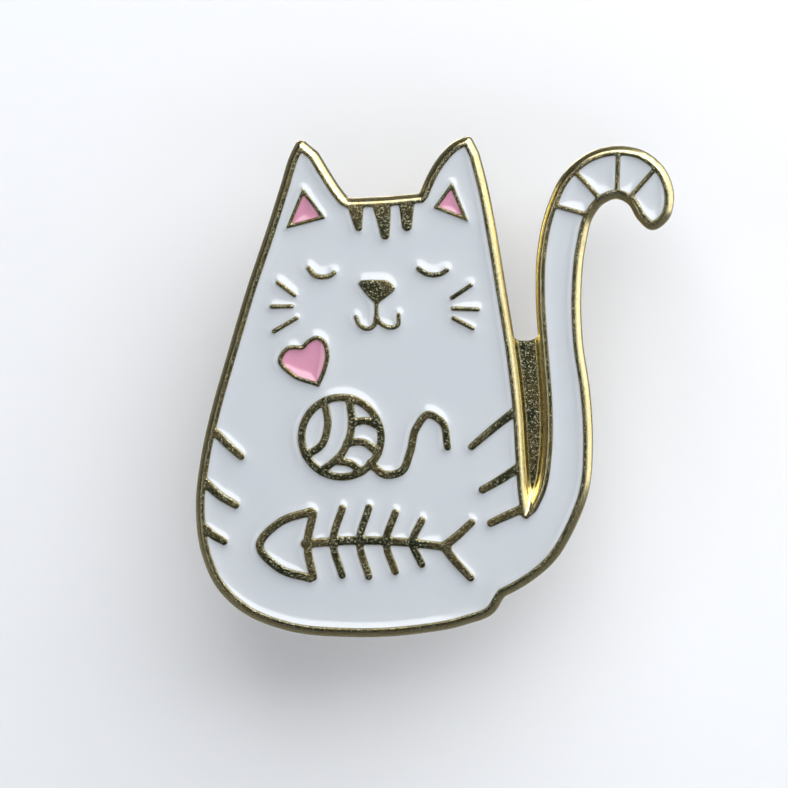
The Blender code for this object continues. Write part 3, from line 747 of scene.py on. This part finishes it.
def wear_group():
    """Rubbed edges: the edge attribute broken up by noise."""
    tree, into, out = node_group("rubbed edges", {"Edge": 0.0, "Scale": 2500.0, "Amount": 0.7}, ("Rubbed",))
    broken = remap(tree, noise(tree, object_place(tree), into["Scale"], 3.0, 0.6), 0.34, 0.6)
    worn = times(tree, into["Edge"], broken)
    give(tree, out, Rubbed=maths(tree, "MULTIPLY", worn, into["Amount"], True))
    return tree


def enamel_group():
    """Poured enamel: a slow swell of the surface, faint cloudiness and tiny specks of dust."""
    tree, into, out = node_group("poured enamel", {"Swell Scale": 260.0, "Speck Scale": 1500.0},
                                 ("Height", "Cloud", "Specks", "Dull"))
    place = object_place(tree)
    swell = noise(tree, place, into["Swell Scale"], 2.0, 0.45)
    ripple = noise(tree, place, times(tree, into["Swell Scale"], 9.0), 2.0, 0.5)
    specks = node(tree, "ShaderNodeTexVoronoi", Vector=place, Scale=into["Speck Scale"])
    chosen = node(tree, "ShaderNodeSeparateColor", Color=specks.outputs["Color"]).outputs[0]
    near = remap(tree, specks.outputs["Distance"], 0.07, 0.12, 1.0, 0.0)
    give(tree, out, Height=plus(tree, swell, times(tree, ripple, 0.05)), Cloud=remap(tree, swell, 0.3, 0.7),
         Specks=times(tree, near, maths(tree, "GREATER_THAN", chosen, 0.93)),
         Dull=remap(tree, ripple, 0.45, 0.7))
    return tree


def drawn_group():
    """Drawn or rolled metal: fine streaks along one direction, and slow tarnish."""
    tree, into, out = node_group("drawn streaks", {"Scale": 3500.0, "Stretch": 14.0},
                                 ("Height", "Streaks", "Tarnish"))
    place = object_place(tree)
    squeeze = node(tree, "ShaderNodeCombineXYZ", X=1.0, Y=maths(tree, "DIVIDE", 1.0, into["Stretch"]), Z=1.0)
    long_way = node(tree, "ShaderNodeVectorMath", {"operation": "MULTIPLY"}, i0=place, i1=squeeze.outputs[0])
    streaks = noise(tree, long_way.outputs[0], into["Scale"], 3.0, 0.6)
    tarnish = noise(tree, place, times(tree, into["Scale"], 0.13), 4.0, 0.6)
    give(tree, out, Height=streaks, Streaks=remap(tree, streaks, 0.35, 0.65),
         Tarnish=remap(tree, tarnish, 0.42, 0.66))
    return tree


# --- materials
# The plate's second gold is painted shade, the dark that its flat tops and web reflect; its fleck gold paints
# the glints of the grain.
GOLD, SHADE_PAINTED_GOLD, RUBBED_GOLD = (0.93, 0.80, 0.42), (0.04, 0.045, 0.023), (0.97, 0.90, 0.58)
GLINT_PAINTED_GOLD, GOLD_SPECK, GOLD_CLOUD = (0.86, 0.84, 0.60), (0.30, 0.20, 0.09), (0.62, 0.45, 0.18)
WHITE, DEEP_WHITE = (0.585, 0.62, 0.65), (0.55, 0.585, 0.62)
PINK, DEEP_PINK = (0.66, 0.30, 0.42), (0.56, 0.23, 0.34)
DUST = (0.3, 0.28, 0.27)
BRASS, DARK_BRASS, BRIGHT_BRASS = (0.86, 0.66, 0.30), (0.50, 0.34, 0.14), (1.0, 0.87, 0.55)
STEEL, DARK_STEEL, BRIGHT_STEEL = (0.72, 0.70, 0.66), (0.42, 0.40, 0.37), (0.92, 0.91, 0.88)


def mix(tree, factor, first, second):
    """The colour between two others, either of which may be a constant."""
    made = node(tree, "ShaderNodeMix", {"data_type": "RGBA"})
    colours = [value if isinstance(value, bpy.types.NodeSocket) else (*value, 1.0)
               for value in (first, second)]
    sockets = {socket.identifier: socket for socket in made.inputs}
    for key, value in zip(("Factor_Float", "A_Color", "B_Color"), (factor, *colours)):
        join(tree, sockets[key], value)
    return next(socket for socket in made.outputs if socket.identifier == "Result_Color")


def new_material(name, kind="ShaderNodeBsdfPrincipled"):
    """A material with one node of this kind joined to its surface."""
    paint = bpy.data.materials.new(name)
    paint.use_nodes = True
    tree = paint.node_tree
    tree.nodes.clear()
    shader = tree.nodes.new(kind)
    tree.links.new(shader.outputs[0], tree.nodes.new("ShaderNodeOutputMaterial").inputs[0])
    return paint, tree, shader


def attribute(tree, name):
    return node(tree, "ShaderNodeAttribute", {"attribute_name": name}).outputs["Fac"]


def bump(tree, height, distance):
    return node(tree, "ShaderNodeBump", Strength=1.0, Distance=distance, Height=height).outputs[0]


def plated_gold(grain, wear):
    """The plate: satin tops painted dark as shade, with bright flecks as painted glints, polished shoulders
    and walls, and a coarse web painted dark as shade.
    """
    paint, tree, shader = new_material("plated gold")
    texture = use_group(tree, grain)
    coarse = use_group(tree, grain, Fine_Scale=5200.0, Broad_Scale=900.0)
    edge, top, web = (attribute(tree, label) for label in ("edge", "top", "web"))
    rubbed = use_group(tree, wear, Edge=edge)["Rubbed"]
    # Painted shade: the tops and the web take the dark gold in place of the dark they reflect and the shade
    # in the web's recess. The same mask sets their satin and grain.
    flat = maths(tree, "MAXIMUM", top, web)
    colour = mix(tree, flat, GOLD, SHADE_PAINTED_GOLD)
    # The flecks are painted glints: bright gold grains on the painted-dark tops, where grained plating
    # sparkles. The specks and cloud are the metal's own tone.
    for label, strength, tint in (("Flecks", 0.48, GLINT_PAINTED_GOLD), ("Specks", 0.2, GOLD_SPECK),
                                  ("Cloud", 0.18, GOLD_CLOUD)):
        colour = mix(tree, times(tree, texture[label], strength), colour, tint)
    satin = plus(tree, times(tree, flat, 0.02), 0.17)
    rough = plus(tree, satin, times(tree, texture["Grain"], 0.1))
    fine_height = times(tree, texture["Height"], plus(tree, flat, 0.2))
    height = plus(tree, fine_height, times(tree, coarse["Height"], web))
    give(tree, shader, Base_Color=mix(tree, rubbed, colour, RUBBED_GOLD), Metallic=1.0,
         Roughness=maths(tree, "SUBTRACT", rough, times(tree, rubbed, 0.12), True),
         Normal=bump(tree, height, 0.000026))
    return paint


def enamel_paint(name, colour, deep, pour):
    """Glossy poured enamel under a clear skin."""
    paint, tree, shader = new_material(name)
    texture = use_group(tree, pour)
    tone = mix(tree, times(tree, texture["Cloud"], 0.35), colour, deep)
    tone = mix(tree, times(tree, texture["Specks"], 0.12), tone, DUST)
    normal = bump(tree, texture["Height"], 0.00006)
    give(tree, shader, Base_Color=tone, Roughness=plus(tree, times(tree, texture["Dull"], 0.05), 0.09),
         Normal=normal, IOR=1.55, Coat_Weight=1.0, Coat_Roughness=0.2, Coat_IOR=1.5, Coat_Normal=normal)
    return paint


def sheet_metal(name, colours, drawn, wear, grain, roughness):
    """Stamped or drawn metal with streaks, tarnish and rubbed edges."""
    colour, dark, bright = colours
    paint, tree, shader = new_material(name)
    streaks = use_group(tree, drawn)
    grains = use_group(tree, grain, Fine_Scale=6000.0)
    rubbed = use_group(tree, wear, Edge=attribute(tree, "edge"), Scale=1800.0)["Rubbed"]
    tone = mix(tree, times(tree, streaks["Streaks"], 0.3), colour, dark)
    tone = mix(tree, times(tree, streaks["Tarnish"], 0.55), tone, dark)
    rough = plus(tree, times(tree, streaks["Tarnish"], 0.18), roughness)
    rough = plus(tree, rough, times(tree, grains["Grain"], 0.06))
    height = plus(tree, streaks["Height"], times(tree, grains["Height"], 0.4))
    give(tree, shader, Base_Color=mix(tree, rubbed, tone, bright), Metallic=1.0,
         Roughness=maths(tree, "SUBTRACT", rough, times(tree, rubbed, 0.1), True),
         Normal=bump(tree, height, 0.000006))
    return paint


# --- back of the plate, posts and clutches


DOME_WIDTH = 0.21
DOME_HEIGHT = 0.11
DOME_PITCH = (0.86, 0.75)
PAD_CLEARANCE = 2.35


def plan_spots():
    """Places for the small domes on the back: staggered rows inside the foot and clear of the post pads."""
    along, up = DOME_PITCH
    spots = np.array([((column + 0.5 * (row % 2)) * along, row * up)
                      for row in range(-19, 20) for column in range(-14, 24)])
    clear_of_posts = np.ones(len(spots), bool)
    for z in POSTS.values():
        clear_of_posts &= np.hypot(spots[:, 0], spots[:, 1] - z) > PAD_CLEARANCE
    return spots[(sample(FOOT, spots) < -0.5) & clear_of_posts]


def make_domes(paint):
    """The pattern of low domes struck into the back, from one point for each dome."""
    mesh = bpy.data.meshes.new("dome_places")
    mesh.from_pydata([(x * MM, 0.0, z * MM) for x, z in plan_spots()], [], [])
    carrier = carrier_of("dome_places", mesh)
    tree = bpy.data.node_groups.new("struck domes", "GeometryNodeTree")
    tree.interface.new_socket("Geometry", in_out="INPUT", socket_type="NodeSocketGeometry")
    width = tree.interface.new_socket("Dome Width", in_out="INPUT", socket_type="NodeSocketFloat")
    height = tree.interface.new_socket("Dome Height", in_out="INPUT", socket_type="NodeSocketFloat")
    tree.interface.new_socket("Geometry", in_out="OUTPUT", socket_type="NodeSocketGeometry")
    into, out = tree.nodes.new("NodeGroupInput").outputs, tree.nodes.new("NodeGroupOutput")
    ball = node(tree, "GeometryNodeMeshUVSphere", Segments=12, Rings=7, Radius=1.0)
    turned_up = node(tree, "GeometryNodeTransform", Geometry=ball.outputs[0],
                     Rotation=(math.pi / 2, 0.0, 0.0))
    even_size = node(tree, "ShaderNodeCombineXYZ", X=into["Dome Width"], Y=into["Dome Height"],
                     Z=into["Dome Width"]).outputs[0]
    varied = node(tree, "FunctionNodeRandomValue", {"data_type": "FLOAT"}, Seed=7)
    for socket in varied.inputs:
        if socket.identifier in ("Min_001", "Max_001"):
            socket.default_value = 0.92 if socket.identifier == "Min_001" else 1.08
    share = next(s for s in varied.outputs if s.identifier == "Value_001")
    size = node(tree, "ShaderNodeVectorMath", {"operation": "SCALE"}, i0=even_size, Scale=share).outputs[0]
    placed = node(tree, "GeometryNodeInstanceOnPoints", Points=into["Geometry"],
                  Instance=turned_up.outputs[0], Scale=size)
    real = node(tree, "GeometryNodeRealizeInstances", Geometry=placed.outputs[0])
    painted = node(tree, "GeometryNodeSetMaterial", Geometry=real.outputs[0], Material=paint)
    tree.links.new(painted.outputs[0], out.inputs[0])
    modifier = carrier.modifiers.new("domes", "NODES")
    modifier.node_group = tree
    modifier[width.identifier] = DOME_WIDTH * MM
    modifier[height.identifier] = DOME_HEIGHT * MM
    baked(carrier, "struck_domes", paint, "badge", weld=1e-9)


def baked(carrier, name, paint, body, stands_for=(), weld=1e-7):
    """Makes the carrier's shape after its modifiers a plain mesh piece, and removes the carrier."""
    bpy.context.view_layer.update()
    graph = bpy.context.evaluated_depsgraph_get()
    mesh = bpy.data.meshes.new_from_object(carrier.evaluated_get(graph))
    mesh.transform(carrier.matrix_world)
    mesh.name = name
    bpy.data.objects.remove(carrier)
    mark_edges(finish_piece(name, mesh, paint, body, stands_for, weld))


def turned(name, profile, where, level, sides=128):
    """A round shape about the post's axis, from points (radius, distance behind the level)."""
    count = len(profile)
    edges = [(k, k + 1) for k in range(count - 1)]
    if profile[0][0] > 0:
        edges.append((count - 1, 0))
    mesh = bpy.data.meshes.new(name)
    mesh.from_pydata([(r * MM, 0.0, z * MM) for r, z in profile], edges, [])
    obj = carrier_of(name, mesh)
    screw = obj.modifiers.new("turn", "SCREW")
    screw.steps = screw.render_steps = sides
    screw.use_merge_vertices = True
    screw.merge_threshold = 1e-6
    obj.location = (0.0, level * MM, POSTS[where] * MM)
    obj.rotation_euler = (-math.pi / 2, 0.0, 0.0)
    return obj


def rounded(profile, radius, pieces=4):
    """The closed profile with each corner cut back to an arc of about this radius."""
    made = []
    count = len(profile)
    for k in range(count):
        corner = Vector(profile[k])
        to_last, to_next = Vector(profile[k - 1]) - corner, Vector(profile[(k + 1) % count]) - corner
        if corner.x <= 0:
            made.append(tuple(corner))
            continue
        reach = min(radius, to_last.length * 0.45, to_next.length * 0.45)
        start, end = corner + to_last.normalized() * reach, corner + to_next.normalized() * reach
        for step in range(pieces + 1):
            t = step / pieces
            made.append(tuple(start * (1 - t) ** 2 + corner * 2 * t * (1 - t) + end * t * t))
    return made


WINDOW_SIZE = (3.2, 3.0, 4.0)
WINDOW_OUT, WINDOW_LEVEL = 3.05, 2.45
SPRING_LEVEL = 2.55
SPRING_RADIUS = 1.58
SPRING_WIRE = 0.3
WING_SHEET = 0.35
WING_RIB = 0.13
NOTCH_RADIUS, NOTCH_TOP = 0.6, 1.6
# The strip's middle, as (distance from the post, distance behind the disc), from its foot to its tab.
WING_BEND = [
    (0.12, 0.6), (0.8, 0.6), (1.4, 0.6), (1.78, 0.66), (2.02, 0.88), (2.1, 1.3), (2.1, 2.6),
    (2.16, 3.3), (2.5, 4.2), (3.05, 5.0), (3.75, 5.6), (4.35, 5.8),
]
# Half the strip's width, as (share of its length, half width).
WING_HALVES = [
    (0.0, 1.05), (0.17, 1.05), (0.25, 1.08), (0.34, 1.2), (0.5, 1.6), (0.58, 1.72),
    (0.7, 1.84), (0.82, 1.84), (0.91, 1.62), (0.96, 1.3), (1.0, 0.8),
]


def make_post(where, paint):
    """The post: a point, a groove, the shank, and the flared pad of solder at its root."""
    profile = [
        (0.0, 8.0), (0.06, 7.96), (0.14, 7.85), (0.38, 6.9), (0.42, 6.72), (0.44, 6.6), (0.44, 6.42),
        (0.48, 6.28), (0.55, 6.12), (0.55, 0.85), (0.6, 0.66), (0.78, 0.5), (1.1, 0.42), (1.5, 0.38),
        (1.88, 0.35), (1.96, 0.31), (2.0, 0.24), (2.0, 0.06), (1.96, 0.0), (0.0, 0.0),
    ]
    post = turned(f"post_{where}_fine", profile, where, 0.02, 96)
    baked(post, f"steel_post_{where}", paint, "badge", [f"post_{where}"])


def make_disc(where, paint):
    """The clutch's foot: a rolled rim, two pressed rings, and a funnel for the post."""
    outline = [
        (5.2, 0.53), (5.46, 0.42), (5.5, 0.2), (5.38, 0.03), (5.1, 0.0), (4.4, 0.1), (3.95, 0.1),
        (3.75, 0.04), (3.55, 0.1), (2.2, 0.1), (1.5, -0.25), (1.15, -0.3), (0.72, 0.02), (0.66, 0.16),
        (0.66, 0.4), (1.3, 0.4), (3.6, 0.4), (3.75, 0.34), (3.9, 0.4), (4.6, 0.4), (4.95, 0.42),
    ]
    disc = turned(f"{where}_disc_fine", rounded(outline, 0.09), where, CLUTCH_GAP)
    baked(disc, f"{where}_foot_disc", paint, f"{where}_clutch", [f"{where}_clutch_disc"])


def make_cap(where, paint):
    """The domed cap with a pressed ring on its crown and a rounded window on each side."""
    outline = [
        (0.9, 3.2), (1.5, 3.2), (1.62, 3.26), (1.95, 3.26), (2.1, 3.2), (2.3, 3.19), (2.66, 3.06),
        (2.88, 2.86), (3.0, 2.5), (3.0, 0.6), (3.06, 0.44), (3.2, 0.34), (3.52, 0.31), (3.6, 0.2),
        (3.6, 0.06), (3.54, 0.03),
        (2.7, 0.03), (2.7, 2.42), (2.6, 2.7), (2.4, 2.85), (2.1, 2.9), (0.9, 2.9),
    ]
    cap = turned(f"{where}_cap_fine", rounded(outline, 0.05, 3), where, CLUTCH_LEVEL)
    windows = [make_window(where, side) for side in (-1, 1)]
    for window in windows:
        cut_with(cap, window)
    soften(cap, 0.05, 2)
    baked(cap, f"{where}_domed_cap", paint, f"{where}_cap", [f"{where}_clutch_case"])
    for window in windows:
        bpy.data.objects.remove(window)


def make_window(where, side):
    """The cutter for a window: a block with rounded corners about the axis that points outwards."""
    shape = bmesh.new()
    bmesh.ops.create_cube(shape, size=1.0)
    bmesh.ops.scale(shape, vec=[size * MM for size in WINDOW_SIZE], verts=shape.verts)
    long_edges = [e for e in shape.edges if abs(e.verts[0].co.x - e.verts[1].co.x) > MM]
    bmesh.ops.bevel(shape, geom=long_edges, offset=0.5 * MM, segments=5, profile=0.5, affect="EDGES")
    centre = (side * WINDOW_OUT * MM, (CLUTCH_LEVEL + WINDOW_LEVEL) * MM, POSTS[where] * MM)
    bmesh.ops.translate(shape, vec=centre, verts=shape.verts)
    mesh = bpy.data.meshes.new("window")
    shape.to_mesh(mesh)
    shape.free()
    return carrier_of("window", mesh)


def cut_with(obj, cutter):
    cutter.hide_render = True
    cut = obj.modifiers.new("cut", "BOOLEAN")
    cut.operation = "DIFFERENCE"
    cut.solver = "EXACT"
    cut.object = cutter


def soften(obj, width, segments):
    bevel = obj.modifiers.new("soft edges", "BEVEL")
    bevel.width = width * MM
    bevel.segments = segments
    bevel.limit_method = "ANGLE"
    bevel.angle_limit = math.radians(50)
    bevel.use_clamp_overlap = True


def between(start, end, shares):
    return [((1 - t) * start[0] + t * end[0], (1 - t) * start[1] + t * end[1]) for t in shares]


def make_spring(where, paint):
    """The open ring of round wire under the cap, with its two ends turned in."""
    level = CLUTCH_LEVEL + SPRING_LEVEL
    angles = [math.radians(115 + 310 * k / 90) for k in range(91)]
    ring = [(SPRING_RADIUS * math.cos(a), SPRING_RADIUS * math.sin(a)) for a in angles]
    start, end = [(x * 0.6, z * 0.72) for x, z in (ring[0], ring[-1])]
    points = between(start, ring[0], (0, 0.4, 0.75)) + ring[2:-2] + between(ring[-1], end, (0.25, 0.6, 1))
    curve = bpy.data.curves.new("spring", "CURVE")
    curve.dimensions = "3D"
    curve.bevel_depth = SPRING_WIRE / 2 * MM
    curve.bevel_resolution = 5
    curve.use_fill_caps = True
    line = curve.splines.new("POLY")
    line.points.add(len(points) - 1)
    for point, (x, z) in zip(line.points, points):
        point.co = (x * MM, level * MM, POSTS[where] * MM - z * MM, 1.0)
    spring = carrier_of(f"{where}_spring_fine", curve)
    baked(spring, f"{where}_wire_spring", paint, f"{where}_cap", [f"{where}_clutch_spring"])


def make_wing(where, side, paint):
    """A bent strip with a notch for the post, a pressed rib, and a flared tab that curls at its end."""
    bend = smooth(WING_BEND, 5)
    run = np.concatenate([[0], np.cumsum([math.dist(a, b) for a, b in zip(bend, bend[1:])])])
    share = run / run[-1]
    halves = np.interp(share, *zip(*WING_HALVES))
    pressed = WING_RIB * np.interp(share, [0.3, 0.4, 0.84, 0.94], [0, 1, 1, 0])
    columns = np.linspace(-1, 1, 17)
    verts = []
    for k, (x, a) in enumerate(bend):
        before, after = bend[max(k - 1, 0)], bend[min(k + 1, len(bend) - 1)]
        along = Vector((after[0] - before[0], after[1] - before[1])).normalized()
        for across in columns:
            rib = pressed[k] * math.exp(-((across / 0.28) ** 2))
            verts.append((side * (x + along.y * rib) * MM, (CLUTCH_LEVEL + a - along.x * rib) * MM,
                          (POSTS[where] + across * halves[k]) * MM))
    wide = len(columns)
    corners = [k * wide + c for k in range(len(bend) - 1) for c in range(wide - 1)]
    mesh = bpy.data.meshes.new("wing")
    mesh.from_pydata(verts, [], [(i, i + 1, i + wide + 1, i + wide) for i in corners])
    wing = carrier_of(f"{where}_wing_fine", mesh)
    sheet = wing.modifiers.new("sheet", "SOLIDIFY")
    sheet.thickness = WING_SHEET * MM
    sheet.offset = 0.0
    sheet.use_even_offset = True
    profile = [(0.0, NOTCH_TOP), (NOTCH_RADIUS, NOTCH_TOP), (NOTCH_RADIUS, 0.0), (0.0, 0.0)]
    notch = turned("notch", profile, where, CLUTCH_LEVEL, 64)
    cut_with(wing, notch)
    soften(wing, 0.07, 3)
    name = "right" if side > 0 else "left"
    baked(wing, f"{where}_finger_wing_{name}", paint, f"{where}_{name}_wing", [f"{where}_wing_{name}"])
    bpy.data.objects.remove(notch)


# --- the studio


BACKDROP_PLACE = 8.3
FLOOR_LEVEL = -30.0
ROOM_TONE = (0.87, 0.9, 0.93, 1.0)
ROOM_LIGHT = (0.76, 0.83, 0.95, 1.0)
ROOM_STRENGTH = 0.11
ROOM_DIMMING = 0.075
FADE_START, FADE_END = 0.04, 0.1


def card_paint(name, colour, ghost):
    """Pale card, clear from behind and faint in reflections, that fades to the room's tone far away."""
    paint, tree, faded = new_material(name, "ShaderNodeMixShader")
    card = node(tree, "ShaderNodeBsdfDiffuse", Color=(*colour, 1.0))
    clear = node(tree, "ShaderNodeBsdfTransparent")
    glow = node(tree, "ShaderNodeEmission", Color=ROOM_TONE, Strength=1.0)
    back = node(tree, "ShaderNodeNewGeometry").outputs["Backfacing"]
    path = node(tree, "ShaderNodeLightPath").outputs
    passing = maths(tree, "MAXIMUM", back, times(tree, path["Is Glossy Ray"], ghost))
    shown = node(tree, "ShaderNodeMixShader", i0=passing, i1=card.outputs[0], i2=clear.outputs[0])
    away = node(tree, "ShaderNodeVectorMath", {"operation": "LENGTH"}, i0=object_place(tree)).outputs["Value"]
    front = maths(tree, "SUBTRACT", 1.0, back)
    far = times(tree, times(tree, remap(tree, away, FADE_START, FADE_END), front), path["Is Camera Ray"])
    give(tree, faded, i0=far, i1=shown.outputs[0], i2=glow.outputs[0])
    return paint


def make_sheet(name, corners, paint):
    mesh = bpy.data.meshes.new(name)
    mesh.from_pydata(corners, [], [(0, 1, 2, 3)])
    mesh.materials.append(paint)
    carrier_of(name, mesh)


def turn_to(obj, direction):
    obj.rotation_euler = direction.to_track_quat("-Z", "Y").to_euler()


def add_light(name, place, size, power):
    """A soft box that faces the pin."""
    data = bpy.data.lights.new(name, "AREA")
    data.shape = "RECTANGLE"
    data.size, data.size_y = size
    data.energy = power
    lamp = carrier_of(name, data)
    lamp.location = place
    turn_to(lamp, -Vector(place))


def make_world():
    """A dim room for light, dimmer still in reflections, and a pale one for the camera."""
    world = bpy.data.worlds.new("studio")
    world.use_nodes = True
    tree = world.node_tree
    path = node(tree, "ShaderNodeLightPath").outputs
    strength = maths(tree, "SUBTRACT", ROOM_STRENGTH, times(tree, path["Is Glossy Ray"], ROOM_DIMMING))
    room = tree.nodes["Background"]
    give(tree, room, Color=ROOM_LIGHT, Strength=strength)
    pale = node(tree, "ShaderNodeBackground", Color=ROOM_TONE, Strength=1.0)
    both = node(tree, "ShaderNodeMixShader", i0=path["Is Camera Ray"], i1=room.outputs[0], i2=pale.outputs[0])
    tree.links.new(both.outputs[0], tree.nodes["World Output"].inputs["Surface"])
    bpy.context.scene.world = world


def make_studio():
    y, wide, tall = BACKDROP_PLACE * MM, 0.5, 0.4
    make_sheet("backdrop", [(-wide, y, -tall), (wide, y, -tall), (wide, y, tall), (-wide, y, tall)],
               card_paint("pale card", (0.85, 0.86, 0.88), 0.8))
    z, reach = FLOOR_LEVEL * MM, 2
    make_sheet("floor", [(-reach, -reach, z), (reach, -reach, z), (reach, reach, z), (-reach, reach, z)],
               card_paint("pale floor", (0.6, 0.61, 0.63), 0.9))
    add_light("top box", (0.09, -0.19, 0.2), (0.4, 0.3), 1.2)
    add_light("left fill", (-0.2, -0.2, -0.02), (0.12, 0.24), 0.13)
    add_light("right box", (0.25, -0.03, 0.06), (0.2, 0.3), 0.24)
    add_light("back box", (-0.08, 0.3, 0.2), (0.3, 0.22), 1.0)
    make_world()


def make_camera():
    azimuth, elevation, distance = math.radians(3.4), math.radians(4.0), 0.2365
    target = Vector((1.68, -1.5, -0.12)) * MM
    away = Vector((math.sin(azimuth) * math.cos(elevation), -math.cos(azimuth) * math.cos(elevation),
                   math.sin(elevation)))
    data = bpy.data.cameras.new("camera")
    data.lens = 180
    data.sensor_width = 36
    data.clip_start = 0.01
    camera = carrier_of("camera", data)
    camera.location = target + away * distance
    turn_to(camera, -away)
    bpy.context.scene.camera = camera


def main():
    grain, wear, pour, drawn = grain_group(), wear_group(), enamel_group(), drawn_group()
    gold = plated_gold(grain, wear)
    make_plate(gold)
    make_enamel(enamel_paint("white enamel", WHITE, DEEP_WHITE, pour),
                enamel_paint("pink enamel", PINK, DEEP_PINK, pour))
    brass = sheet_metal("brass sheet", (BRASS, DARK_BRASS, BRIGHT_BRASS), drawn, wear, grain, 0.24)
    steel = sheet_metal("drawn steel", (STEEL, DARK_STEEL, BRIGHT_STEEL), drawn, wear, grain, 0.2)
    make_domes(gold)
    for where in POSTS:
        make_post(where, steel)
        make_disc(where, brass)
        make_cap(where, brass)
        make_spring(where, steel)
        for side in (-1, 1):
            make_wing(where, side, brass)
    make_studio()
    make_camera()
    bpy.context.scene.view_settings.view_transform = "Standard"


main()
